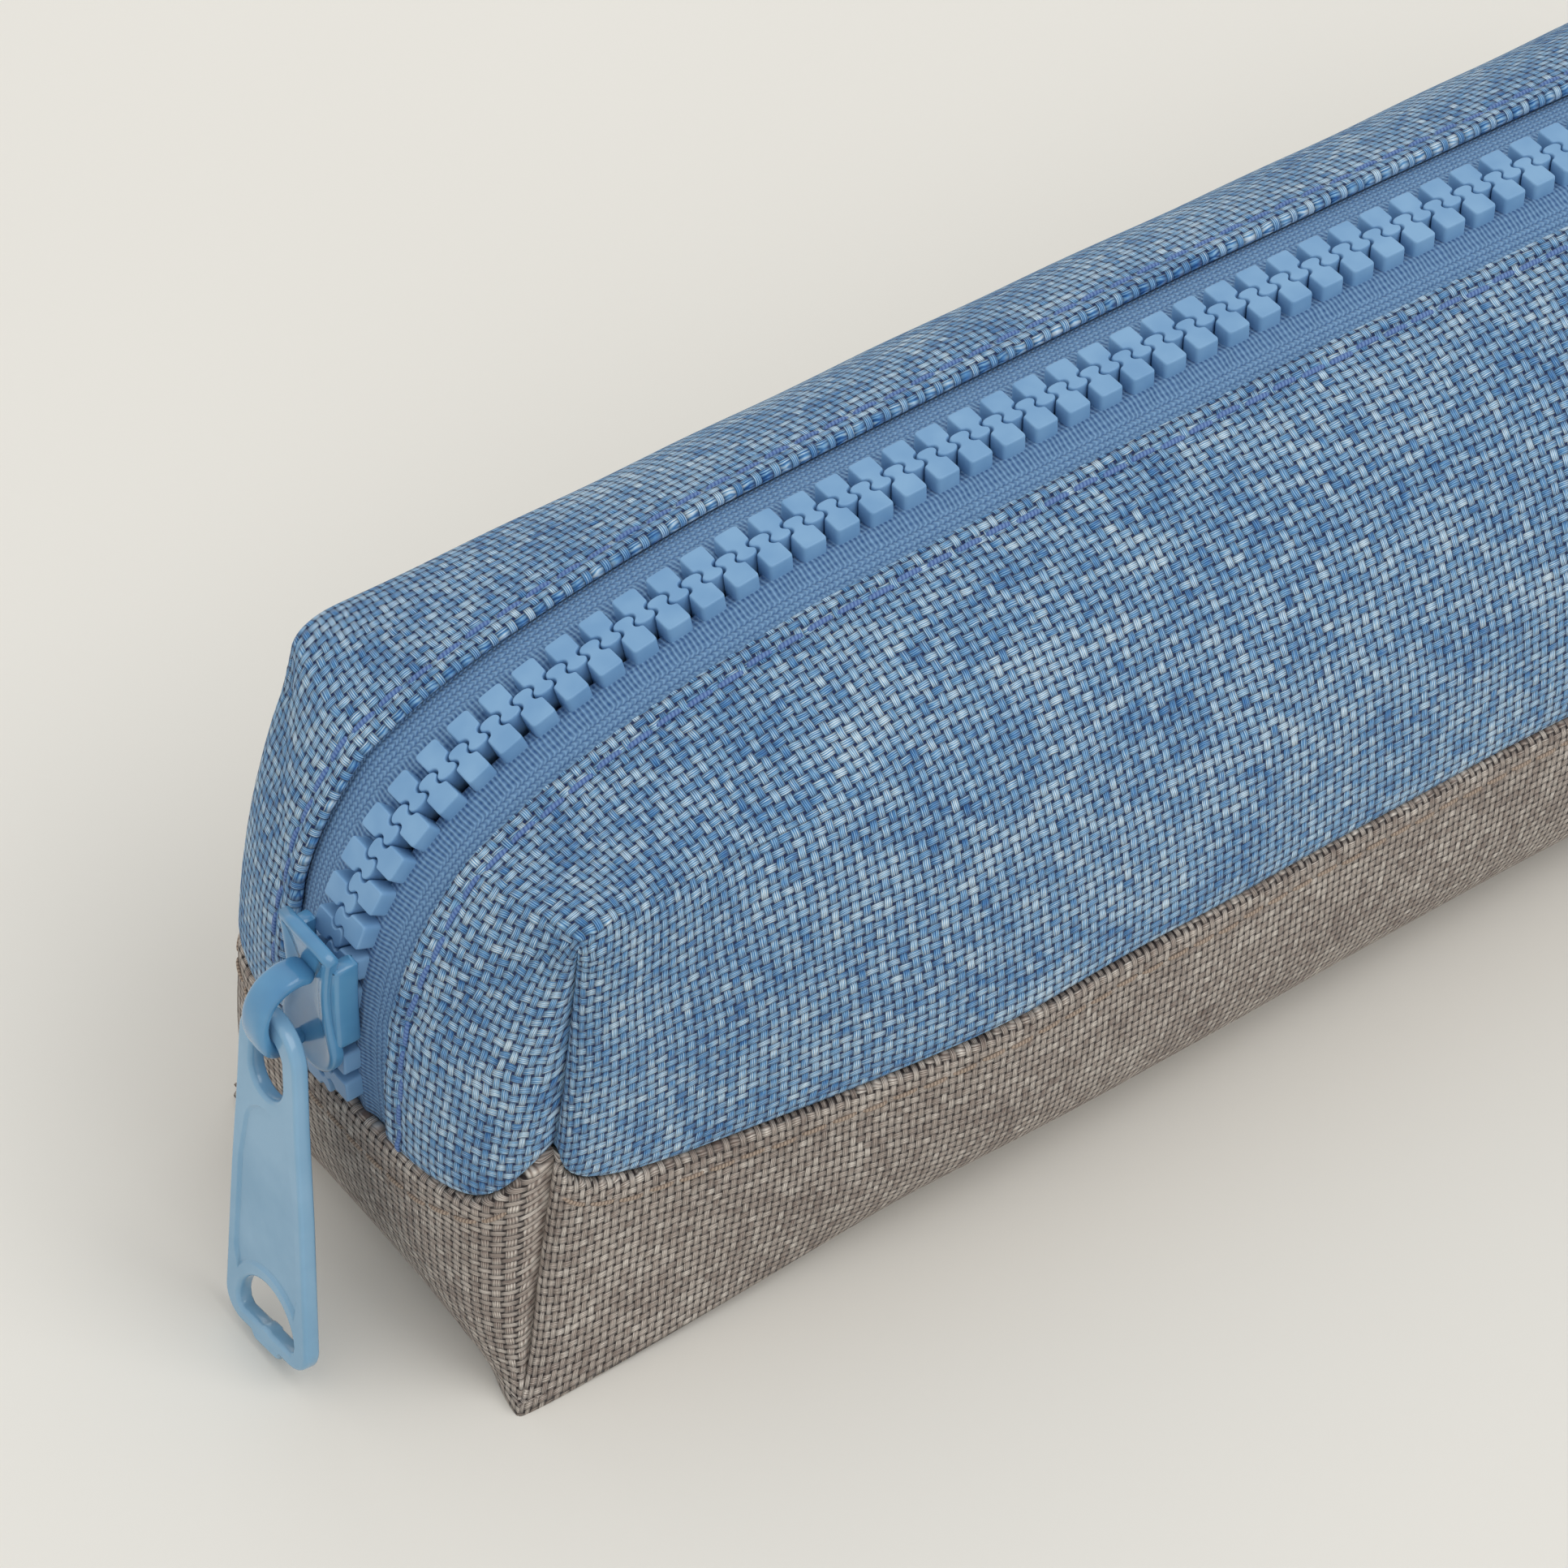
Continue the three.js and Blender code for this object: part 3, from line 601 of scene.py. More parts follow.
def sheet(name, patches, outer, inner, material, hidden=False):
    """A closed sheet of cloth; outer and inner turn edge distances into depths below the skin.

    Hidden layers are offset towards the core of the case, so that they stay clear of the grooves.
    """
    points, edge, quads, weave = weld(patches)
    points = relaxed(points, quads)
    keep = np.array([len(set(q)) == 4 for q in quads.tolist()])
    quads, weave = quads[keep], weave[keep]
    normals = away_from_core(points) if hidden else point_normals(points, quads)
    above = points - normals * np.asarray(outer(edge))[:, None]
    below = points - normals * np.asarray(inner(edge))[:, None]
    below[:, 2] = np.maximum(below[:, 2], TABLE_CLEARANCE)
    count = len(points)
    faces = quads.tolist() + (quads[:, ::-1] + count).tolist()
    corner_weave = np.concatenate([weave, weave[:, ::-1]]).reshape(-1, 2)
    rim = border(quads)
    faces += [[q, p, p + count, q + count] for p, q in rim]
    weave_at = {}
    for quad, uv in zip(quads.tolist(), weave.tolist()):
        weave_at.update(zip(quad, uv))
    rim_weave = [weave_at[k] for p, q in rim for k in (q, p, p, q)]
    corner_weave = np.concatenate([corner_weave, np.array(rim_weave).reshape(-1, 2)])
    return make_mesh(name, np.concatenate([above, below]), faces, material, corner_weave)


def rolled_edge(thickness):
    """Depth functions of a sheet whose free edges are rounded over."""
    def outer(edge):
        return 0.48 * thickness * cusp(edge, 1)

    def inner(edge):
        return thickness * (1 - 0.48 * cusp(edge, 1))

    return outer, inner


def folded_edge(thickness):
    """Depth functions of a sheet folded over at its free edges, as thick there as elsewhere."""
    outer, _ = rolled_edge(thickness)
    return outer, lambda edge: thickness + 0 * edge


def even_layer(outer, inner):
    """Depth functions of a sheet of even thickness."""
    return lambda edge: outer + 0 * edge, lambda edge: inner + 0 * edge


def corded_tape(edge):
    """Depth of a zip tape's face, raised over the cord beside the teeth."""
    rise, place, run = CORD
    return TAPE_DEPTH[0] - rise * np.exp(-(((edge - place) / run) ** 2))


# ==== materials ====================================================================
def linear(red, green, blue):
    """Scene colour from an sRGB colour given as 0 to 255."""
    values = []
    for channel in (red, green, blue):
        c = channel / 255
        values.append(c / 12.92 if c <= 0.04045 else ((c + 0.055) / 1.055) ** 2.4)
    return (*values, 1.0)


def feed(tree, target, value):
    """Links a signal to a node's input, or writes a plain value there."""
    if isinstance(value, Signal):
        tree.links.new(value.socket, target)
    else:
        target.default_value = value


class Signal:
    """A value in a shader's node tree that can be added, multiplied and so on."""

    def __init__(self, tree, socket):
        self.tree = tree
        self.socket = socket

    def math(self, operation, *others, clamp=False):
        node = self.tree.nodes.new("ShaderNodeMath")
        node.operation = operation
        node.use_clamp = clamp
        for target, value in zip(node.inputs, (self, *others)):
            feed(self.tree, target, value)
        return Signal(self.tree, node.outputs[0])

    def __add__(self, other):
        return self.math("ADD", other)

    def __sub__(self, other):
        return self.math("SUBTRACT", other)

    def __mul__(self, other):
        return self.math("MULTIPLY", other)

    def __truediv__(self, other):
        return self.math("DIVIDE", other)

    def wrapped(self, period):
        return self.math("FLOORED_MODULO", period)

    def stepped(self, low, high):
        """0 below low, 1 above high, smooth between."""
        node = self.tree.nodes.new("ShaderNodeMapRange")
        node.interpolation_type = "SMOOTHSTEP"
        feed(self.tree, node.inputs["Value"], self)
        node.inputs["From Min"].default_value = low
        node.inputs["From Max"].default_value = high
        return Signal(self.tree, node.outputs["Result"])


class Shader:
    """One procedural material, with short names for the nodes it is made of."""

    def __init__(self, name):
        self.material = bpy.data.materials.new(name)
        self.material.use_nodes = True
        self.tree = self.material.node_tree
        self.surface = self.tree.nodes["Principled BSDF"]

    def node(self, kind, **inputs):
        made = self.tree.nodes.new(kind)
        for name, value in inputs.items():
            feed(self.tree, made.inputs[name], value)
        return made

    def out(self, made, name):
        return Signal(self.tree, made.outputs[name])

    def weave(self):
        """Weave coordinates in mm, as two values."""
        uv = self.tree.nodes.new("ShaderNodeUVMap")
        uv.uv_map = "weave"
        split = self.node("ShaderNodeSeparateXYZ", Vector=self.out(uv, "UV"))
        return self.out(split, "X"), self.out(split, "Y")

    def position(self):
        return self.out(self.node("ShaderNodeTexCoord"), "Object")

    def vector(self, x, y, z=0.0):
        return self.out(self.node("ShaderNodeCombineXYZ", X=x, Y=y, Z=z), "Vector")

    def noise(self, vector, scale=1.0, detail=2.0, rough=0.5):
        made = self.node("ShaderNodeTexNoise", Vector=vector, Scale=scale, Detail=detail, Roughness=rough)
        return self.out(made, "Fac")

    def mixed(self, amount, low, high):
        """Blend of two values, or of two colours."""
        made = self.tree.nodes.new("ShaderNodeMix")
        colour = isinstance(low, tuple)
        made.data_type = "RGBA" if colour else "FLOAT"
        first = 6 if colour else 2      # the node keeps its sockets for each kind of value side by side
        for place, value in ((0, amount), (first, low), (first + 1, high)):
            feed(self.tree, made.inputs[place], value)
        return Signal(self.tree, made.outputs[2 if colour else 0])

    def ramp(self, amount, *stops):
        made = self.node("ShaderNodeValToRGB", Fac=amount)
        elements = made.color_ramp.elements
        while len(elements) < len(stops):
            elements.new(0.5)
        for element, (place, colour) in zip(elements, stops):
            element.position = place
            element.color = colour
        return self.out(made, "Color")

    def bump(self, height_mm):
        made = self.node("ShaderNodeBump", Height=height_mm, Strength=1.0, Distance=MM)
        self.tree.links.new(made.outputs[0], self.surface.inputs["Normal"])

    def finish(self, colour, roughness, sheen=0.0, coat=0.0, specular=0.5):
        settings = {"Base Color": colour, "Roughness": roughness, "Sheen Weight": sheen,
                    "Coat Weight": coat, "Specular IOR Level": specular}
        for name, value in settings.items():
            feed(self.tree, self.surface.inputs[name], value)
        return self.material


def yarn(shader, along, across, lane, seed):
    """Height and tone of one set of yarns; lengths are in pitches, lane is the yarn's number."""
    path = (along * math.pi).math("COSINE")
    offset = (across - 0.5) / YARN_HALF_W
    square = offset * offset
    body = (square * square * -1 + 1).math("MAXIMUM", 0.0).math("SQRT")
    covered = (offset.math("ABSOLUTE") - 1).stepped(0.0, 0.08)
    twist = shader.noise(shader.vector(along * 0.3, lane * 3.1 + seed), 1.0, 1.0)
    strand = ((offset * 1.9 + twist * 1.6) * math.pi).math("SINE").math("ABSOLUTE")
    height = path * 0.19 + body * 0.15 + strand * 0.035 - covered * 0.5
    streak = shader.noise(shader.vector(along * 0.30, lane * 7.31 + seed, seed), 1.0, 2.0)
    fibre = shader.noise(shader.vector(along * 0.5, (lane + across) * 7.5 + seed, seed), 1.0, 2.0)
    tone = (streak - 0.5) * 0.85 + (fibre - 0.5) * 0.80 + (strand - 0.6) * 0.34 + 0.5
    return height, tone


def basket_cloth(name, gap_shade, colours, pitch, blotch=0.34, contrast=1.0):
    """Melange plain weave of flat, loosely spun yarns; the gaps where they cross and other low places are
    painted in a dark shade colour.
    """
    shader = Shader(name)
    p, q = shader.weave()
    drift = shader.noise(shader.vector(p * 0.06, q * 0.06), 1.0, 1.0) - 0.5
    wobble = shader.noise(shader.vector(p * 0.7, q * 0.7, 9.0), 1.0, 1.0) - 0.5
    u = p / pitch[0] + drift * 1.6 + wobble * 0.22
    v = q / pitch[1] + drift * 1.1 - wobble * 0.22
    lane_u = u.math("FLOOR")
    lane_v = v.math("FLOOR")
    flat_height, flat_tone = yarn(shader, u - 0.5 + lane_v, v - lane_v, lane_v, 11.0)
    tall_height, tall_tone = yarn(shader, v + 0.5 + lane_u, u - lane_u, lane_u, 47.0)
    height = flat_height.math("MAXIMUM", tall_height).math("MAXIMUM", -0.16)
    which = (flat_height - tall_height).math("GREATER_THAN", 0.0)
    tone = shader.mixed(which, tall_tone, flat_tone)
    patchy = shader.noise(shader.vector(p * 0.09, q * 0.13, 5.0), 1.0, 3.0, 0.6) - 0.5
    tone = (tone - 0.5) * contrast + 0.5 + patchy * blotch
    colour = shader.ramp(tone, *colours)
    # painted shade: the lower the yarn surface, the closer its colour comes to the dark shade colour, in
    # the gaps and at the dipping float ends
    colour = shader.mixed(height.stepped(-0.04, 0.29), gap_shade, colour)
    shader.bump(height * (0.75 * (pitch[0] + pitch[1]) / YARN_PITCH))
    return shader.finish(colour, 0.82, sheen=0.15, specular=0.3)


def knitted_tape(name, dark, light):
    """Zip tape: ribs across the cord beside the teeth, a fine slanted knit further out."""
    shader = Shader(name)
    p, q = shader.weave()
    drift = shader.noise(shader.vector(p * 0.5, q * 0.5), 1.0, 2.0) - 0.5
    rib_along = p / 0.44 + drift * 0.9
    rib_across = q / 0.56 + drift * 0.8
    bead = (rib_along * (2 * math.pi)).math("COSINE") * 0.5 + 0.5
    row = (rib_across * (2 * math.pi)).math("COSINE") * 0.5 + 0.5
    ribs = bead * 0.75 + row * 0.25
    column = (q / 0.62).math("FLOOR")
    inside = q / 0.62 - column
    slant = (inside - 0.5).math("ABSOLUTE") * 0.9
    stitch = ((p / 0.50 + drift * 1.2 + slant + column * 0.5) * (2 * math.pi)).math("COSINE") * 0.5 + 0.5
    bow = (inside * math.pi).math("SINE")
    knit = stitch * 0.55 + bow * 0.45
    outer = q.stepped(4.5, 4.8)
    height = shader.mixed(outer, ribs, knit)
    speck = shader.noise(shader.vector(p * 2.2, q * 2.2), 1.0, 2.0)
    # painted shade: the tone follows the knit's relief, so its hollows are darker and its ridges lighter
    tone = height * 0.62 + speck * 0.38
    colour = shader.ramp(tone, (0.12, dark), (0.78, light))
    shader.bump(height * 0.16)
    return shader.finish(colour, 0.78, sheen=0.1, specular=0.3)


def thread(name, dark, light, turn=0.55):
    """Twisted sewing thread; its weave coordinates run along and round the thread."""
    shader = Shader(name)
    p, q = shader.weave()
    ply = ((p / turn + q) * (2 * math.pi)).math("SINE") * 0.5 + 0.5
    # painted shade: the colour follows the twist, darker in the grooves between the plies
    colour = shader.ramp(ply, (0.0, dark), (0.8, light))
    shader.bump(ply * 0.03)
    return shader.finish(colour, 0.6, specular=0.35)


def moulded(name, base, deep):
    """Satin moulded plastic, its tone and roughness wandering in soft patches."""
    shader = Shader(name)
    place = shader.position()
    cloud = shader.noise(place, 300.0, 2.0)
    colour = shader.ramp(cloud, (0.3, deep), (0.7, base))
    fine = shader.noise(place, 5200.0, 2.0)
    shader.bump(fine * 0.004)
    return shader.finish(colour, cloud * 0.10 + 0.36, specular=0.42)


def enamel(name, base, deep):
    """Glossy paint on a casting: slight orange peel, wear towards a paler tone."""
    shader = Shader(name)
    place = shader.position()
    cloud = shader.noise(place, 160.0, 3.0)
    colour = shader.ramp(cloud, (0.32, deep), (0.66, base))
    peel = shader.noise(place, 900.0, 2.0)
    shader.bump(peel * 0.012)
    return shader.finish(colour, cloud * 0.08 + 0.16, coat=0.35, specular=0.5)


# The first colour given to each cloth is painted shade for its gaps and low places.
BLUE_CLOTH = basket_cloth("blue_cloth", linear(12, 38, 84), [
    (0.22, linear(38, 92, 156)), (0.42, linear(88, 146, 200)),
    (0.58, linear(144, 190, 225)), (0.78, linear(218, 236, 248)),
], pitch=(0.92, YARN_PITCH))
GREY_CLOTH = basket_cloth("grey_cloth", linear(42, 34, 34), [
    (0.22, linear(118, 102, 95)), (0.42, linear(156, 142, 133)),
    (0.58, linear(190, 178, 168)), (0.78, linear(232, 224, 214)),
], pitch=(0.66, 0.96))
LINING_CLOTH = basket_cloth("lining_cloth", linear(60, 64, 70), [
    (0.25, linear(104, 110, 118)), (0.45, linear(134, 140, 148)),
    (0.60, linear(150, 156, 164)), (0.80, linear(172, 178, 184)),
], pitch=(0.35, 0.35), blotch=0.1, contrast=0.5)
TAPE_CLOTH = knitted_tape("tape_cloth", linear(42, 84, 138), linear(128, 168, 206))
BINDING_CLOTH = knitted_tape("binding_cloth", linear(38, 54, 84), linear(84, 104, 140))
BLUE_THREAD = thread("blue_thread_twist", linear(68, 98, 156), linear(104, 136, 186), 0.34)
SAND_THREAD = thread("sand_thread_twist", linear(120, 104, 92), linear(172, 154, 138), 0.3)
TOOTH_PLASTIC = moulded("tooth_plastic", linear(130, 172, 210), linear(114, 158, 200))
PAINT = enamel("tab_enamel", linear(132, 174, 204), linear(116, 162, 194))
# The slider's enamel is a darker copy of the tab's, the same paint on the real part: painted shade.
SHADED_SLIDER_PAINT = enamel("slider_enamel_shaded", linear(94, 152, 192), linear(76, 134, 178))


def smooth_curve(points, count):
    """Catmull-Rom curve through the points."""
    points = np.asarray(points, float)
    padded = np.concatenate([[2 * points[0] - points[1]], points, [2 * points[-1] - points[-2]]])
    spots = np.linspace(0, len(points) - 1 - 1e-9, count)
    curve = []
    for spot in spots:
        k = int(spot)
        t = spot - k
        a, b, c, d = padded[k:k + 4]
        bend = (2 * a - 5 * b + 4 * c - d) * t**2 + (3 * b - a - 3 * c + d) * t**3
        curve.append(0.5 * (2 * b + (c - a) * t + bend))
    return np.array(curve)


# ==== zip teeth ======================================================================
def chain_path():
    """Centre line of the chain from the front seam over the top to the rear seam, on the skin."""
    zero = np.zeros(200)
    rise = np.linspace(SEAM_END_Z - 0.4, CROWN_H, 200)
    up = to_world("end", zero - HALF_LENGTH, zero, rise)
    flat = np.linspace(-HALF_LENGTH, 0, 400)[1:]
    over = to_world("top", flat, 0 * flat, 0 * flat)
    front = np.concatenate([up, over])
    rear = front[::-1][1:] * [-1, 1, 1]
    return np.concatenate([front, rear])


CHAIN = chain_path()
CHAIN_S = np.concatenate([[0], np.cumsum(np.linalg.norm(np.diff(CHAIN, axis=0), axis=1))])


def chain_frame(s):
    """Point, direction along and outward direction at length s of the chain."""
    point = np.array([np.interp(s, CHAIN_S, CHAIN[:, k]) for k in range(3)])
    ahead = np.array([np.interp(s + 0.6, CHAIN_S, CHAIN[:, k]) for k in range(3)])
    behind = np.array([np.interp(s - 0.6, CHAIN_S, CHAIN[:, k]) for k in range(3)])
    along = (ahead - behind) / np.linalg.norm(ahead - behind)
    return point, along, np.array([-along[2], 0, along[0]])


def arc(centre, radius, start, stop, count):
    """Points on an arc; angles in degrees."""
    angles = np.radians(np.linspace(start, stop, count))
    return [(centre[0] + radius * math.cos(a), centre[1] + radius * math.sin(a)) for a in angles]


def oval(centre, radii, start, count):
    """Points over the top of an oval, from angle start on the right to the same on the left."""
    return [(centre[0] + radii[0] * math.cos(a), centre[1] + radii[1] * math.sin(a))
            for a in np.linspace(start, math.pi - start, count)]


def tooth_outline():
    """A tooth from its head across the middle out to its block: (along, across), anticlockwise."""
    half = [(0, -0.80), (0.32, -0.79), (0.60, -0.71), (0.82, -0.56), (0.93, -0.34), (0.90, -0.13),
            (0.75, 0.03), (0.59, 0.17), (0.52, 0.36), (0.56, 0.56), (0.70, 0.72), (0.90, 0.80),
            (1.06, 0.88), (1.13, 1.04), (1.14, 1.5), (1.15, 2.40), (1.12, 2.62), (1.01, 2.76),
            (0.80, 2.82), (0.40, 2.83)]
    half = smooth_curve(half, 34)
    left = half[:0:-1] * [-1, 1]
    return np.concatenate([half, left])


def inset(outline, amount):
    """The outline moved inwards; it runs anticlockwise."""
    ahead = np.roll(outline, -1, axis=0) - outline
    behind = outline - np.roll(outline, 1, axis=0)
    normals = []
    for one, two in zip(behind, ahead):
        one = np.array([-one[1], one[0]]) / max(np.hypot(*one), 1e-9)
        two = np.array([-two[1], two[0]]) / max(np.hypot(*two), 1e-9)
        total = one + two
        total /= max(np.hypot(*total), 1e-9)
        normals.append(total / max(0.6, float(total @ one)))
    return outline + amount * np.array(normals)


def loft(rings, start, caps=True):
    """Quads between closed rings of equal size, numbered from start, with flat end caps."""
    n = len(rings[0])
    faces = []
    for k in range(len(rings) - 1):
        low = start + k * n
        for i in range(n):
            j = (i + 1) % n
            faces.append([low + i, low + j, low + n + j, low + n + i])
    flat = []
    if caps:
        flat = [len(faces), len(faces) + 1]
        faces.append([start + i for i in reversed(range(n))])
        top = start + (len(rings) - 1) * n
        faces.append([top + i for i in range(n)])
    return faces, flat


def teeth(name, side):
    """One row of moulded teeth; each is a block with a neck and a head, eased at its edges."""
    outline = tooth_outline()
    levels = [(TOOTH_UNDER, 0.08), (TOOTH_UNDER - 0.15, 0.0), (1.3, 0.0), (TOOTH_TOP + 0.24, 0.01),
              (TOOTH_TOP + 0.10, 0.035), (TOOTH_TOP + 0.03, 0.08), (TOOTH_TOP, 0.15)]
    first = FIRST_TOOTH if side > 0 else FIRST_TOOTH + TOOTH_PITCH / 2
    count = int((CHAIN_S[-1] - first - LAST_TOOTH) // TOOTH_PITCH) + 1
    points, faces, flat = [], [], []
    for i in range(count):
        point, along, out = chain_frame(first + i * TOOTH_PITCH)
        spread = PARTED_SPREAD if i < PARTED_TEETH else 0.0
        rings = []
        for depth, ease in levels:
            ring = inset(outline, ease)
            across = side * (ring[:, 1] + spread)
            rings.append(point + ring[:, :1] * along - depth * out + across[:, None] * [0, 1, 0])
        made, caps = loft(rings, len(points) * len(outline))
        flat += [len(faces) + k for k in caps]
        faces += made
        points += rings
    if side > 0:
        faces = [face[::-1] for face in faces]
    return facing_out(make_mesh(name, np.concatenate(points), faces, TOOTH_PLASTIC, flat=flat))


def facing_out(piece, weld_gap=0):
    """Turns every closed body of a piece to face outwards; joins points closer than weld_gap first."""
    mesh = bmesh.new()
    mesh.from_mesh(piece.data)
    if weld_gap:
        bmesh.ops.remove_doubles(mesh, verts=mesh.verts, dist=weld_gap)
    bmesh.ops.recalc_face_normals(mesh, faces=mesh.faces)
    mesh.to_mesh(piece.data)
    mesh.free()
    return piece


# ==== stitches =========================================================================
def along_path(path, walked, s):
    return np.array([np.interp(s, walked, path[:, k]) for k in range(3)])


def stitched(name, runs, size, material):
    """Separate stitches along each run, a path and its outward directions on the cloth.

    Each stitch is a bowed thread that dips into the cloth at both ends.
    """
    length, gap, radius = size
    sides = 8
    places = np.array([-0.5, -0.42, -0.3, -0.1, 0.1, 0.3, 0.42, 0.5])
    lift = np.array([-0.42, -0.02, 0.17, 0.24, 0.24, 0.17, -0.02, -0.42])
    thick = np.array([0.45, 0.85, 1.0, 1.05, 1.05, 1.0, 0.85, 0.45])
    points, faces, weave = [], [], []
    for path, outward in runs:
        walked = np.concatenate([[0], np.cumsum(np.linalg.norm(np.diff(path, axis=0), axis=1))])
        count = int(walked[-1] // (length + gap))
        pitch = walked[-1] / count
        for i in range(count):
            start = len(points) * sides
            middle = (i + 0.5) * pitch
            wander = 0.10 * math.sin(i * 2.4) + 0.06 * math.sin(i * 5.1)
            rings = []
            for place, up, fat in zip(places, lift, thick):
                s = middle + place * (pitch - gap)
                out = along_path(outward, walked, s)
                out /= np.linalg.norm(out)
                ahead = along_path(path, walked, s + 0.3) - along_path(path, walked, s - 0.3)
                beside = np.cross(out, ahead / max(np.linalg.norm(ahead), 1e-9))
                centre = along_path(path, walked, s) + out * up * radius * 1.9 + beside * wander
                turn = 2 * math.pi * np.arange(sides) / sides
                wide = 1.15 * np.cos(turn)[:, None] * beside
                high = 0.85 * np.sin(turn)[:, None] * out
                rings.append(centre + radius * fat * (wide + high))
            made, _ = loft(rings, start)
            for corner in (k for face in made for k in face):
                ring, spoke = divmod(corner - start, sides)
                weave.append((middle + places[ring] * length, spoke / sides))
            faces += made
            points += rings
    return facing_out(make_mesh(name, np.concatenate(points), faces, material, weave))


def line_on_wall(side, y):
    """Path and outward directions of a line at distance y from the zip, from seam to seam."""
    v = side * y / CORNER_HALF_W
    rise = np.linspace(float(seam_on_end(np.array(v))) + 0.6, float(top_height(v)), 60)
    flat = np.linspace(-HALF_LENGTH, HALF_LENGTH, 500)
    width = half_width(HALF_LENGTH - np.abs(flat))
    legs = [("end", np.full(60, -HALF_LENGTH), np.full(60, v), rise),
            ("top", flat[1:-1], side * y / width[1:-1], 0 * flat[1:-1]),
            ("end", np.full(60, HALF_LENGTH), np.full(60, v), rise[::-1])]
    path = np.concatenate([skin(*leg) for leg in legs])
    outward = np.concatenate([skin_normals(*leg) for leg in legs])
    return path, outward


def lines_on_base(drop):
    """Four runs round the case below the blue to grey seam, one for each side and end."""
    flat = np.linspace(1.5 - HALF_LENGTH, HALF_LENGTH - 1.5, 420)
    across = np.linspace(-0.93, 0.93, 90)
    runs = []
    for side in (-1, 1):
        z = seam_on_side(HALF_LENGTH - np.abs(flat)) - drop
        leg = ("side", flat, np.full_like(flat, side), z)
        runs.append((skin(*leg), skin_normals(*leg)))
    for end in (-1, 1):
        leg = ("end", np.full_like(across, end * HALF_LENGTH), across, seam_on_end(across) - drop)
        runs.append((skin(*leg), skin_normals(*leg)))
    return runs


# ==== slider and pull tab ================================================================
def stand(points, x_face):
    """Turns (across, up, outwards) into world mm, with outwards 0 at x_face from the corner plane."""
    points = np.asarray(points, float)
    return np.stack([-HALF_LENGTH + x_face - points[:, 2], points[:, 0], points[:, 1]], -1)


def level(outline, t):
    return np.column_stack([outline, np.full(len(outline), t)])


def joined(name, solids, material):
    """One piece from several closed bodies, each given as points and faces."""
    points, faces, start = [], [], 0
    for body, made in solids:
        points.append(body)
        faces += [[start + k for k in face] for face in made]
        start += len(body)
    return facing_out(make_mesh(name, np.concatenate(points), faces, material))


PLATE_SIDE = [(3.65, 6.3), (3.2, 4.2), (2.85, 1.4), (3.1, -1.6), (3.75, -4.3)]


def slider_plate(face_x):
    """Shield-shaped cover plate with a raised rim round a dished middle."""
    side = smooth_curve(PLATE_SIDE, 16)
    foot = arc((0, PLATE_SIDE[-1][1]), PLATE_SIDE[-1][0], -8, -172, 19)
    left = [(-a, b) for a, b in side[::-1]]
    top = [(-1.8, 6.38), (0, 6.4), (1.8, 6.38)]
    outline = np.array([*side, *foot, *left, *top])[::-1] + [0, SLIDER_Z]
    levels = [(-PLATE_T, 0.25), (-PLATE_T + 0.12, 0.06), (-PLATE_T + 0.3, 0), (-0.3, 0), (-0.1, 0.06),
              (0, 0.22), (0.02, 0.40), (0, 0.58), (-0.07, 0.80)]
    rings = [level(inset(outline, ease), t) for t, ease in levels]
    rim = rings[-1][:, :2]
    heart = np.array([0, SLIDER_Z + 0.6])
    for t, share in ((-0.17, 0.88), (-0.27, 0.72), (-0.34, 0.52), (-0.37, 0.28), (-0.38, 0.08)):
        rings.append(level(heart + (rim - heart) * share, t))
    faces, _ = loft(rings, 0)
    return stand(np.concatenate(rings), face_x), faces


def slider_flange(face_x, side):
    """Wall behind one edge of the plate that hugs the teeth and follows the plate's waist."""
    outer = smooth_curve([(3.62, 4.9), (3.66, 4.4), (3.5, 0.9), (3.62, -3.2), (3.58, -3.8)], 14)
    inner = outer[::-1] * [0, 1] + [FLANGE_INNER_Y, 0]
    band = np.concatenate([outer, inner])[::-1] * [side, 1] + [0, SLIDER_Z]
    if side < 0:
        band = band[::-1]
    rings = [level(inset(band, ease), t) for t, ease in
             ((-2.9, 0.22), (-2.75, 0.06), (-2.5, 0), (-1.0, 0), (-0.72, 0.08), (-0.62, 0.25))]
    faces, _ = loft(rings, 0)
    return stand(np.concatenate(rings), face_x), faces


def slider_inside(face_x):
    """Back plate and the post between the two plates, hidden in the chain."""
    back = np.array([(3.5, 1.0), (-3.5, 1.0), (-3.5, -4.4), (-2.4, -5.6), (2.4, -5.6), (3.5, -4.4)])
    post = np.array([(0.35, -2.0), (-0.35, -2.0), (-0.35, -4.7), (0.35, -4.7)])
    bodies = []
    for outline, levels in ((back, ((-6.2, 0.1), (-6.0, 0), (-5.4, 0), (-5.2, 0.1))),
                            (post, ((-5.5, 0), (-0.9, 0)))):
        rings = [level(inset(outline, ease) + [0, SLIDER_Z], t) for t, ease in levels]
        faces, _ = loft(rings, 0)
        bodies.append((stand(np.concatenate(rings), face_x), faces))
    return bodies


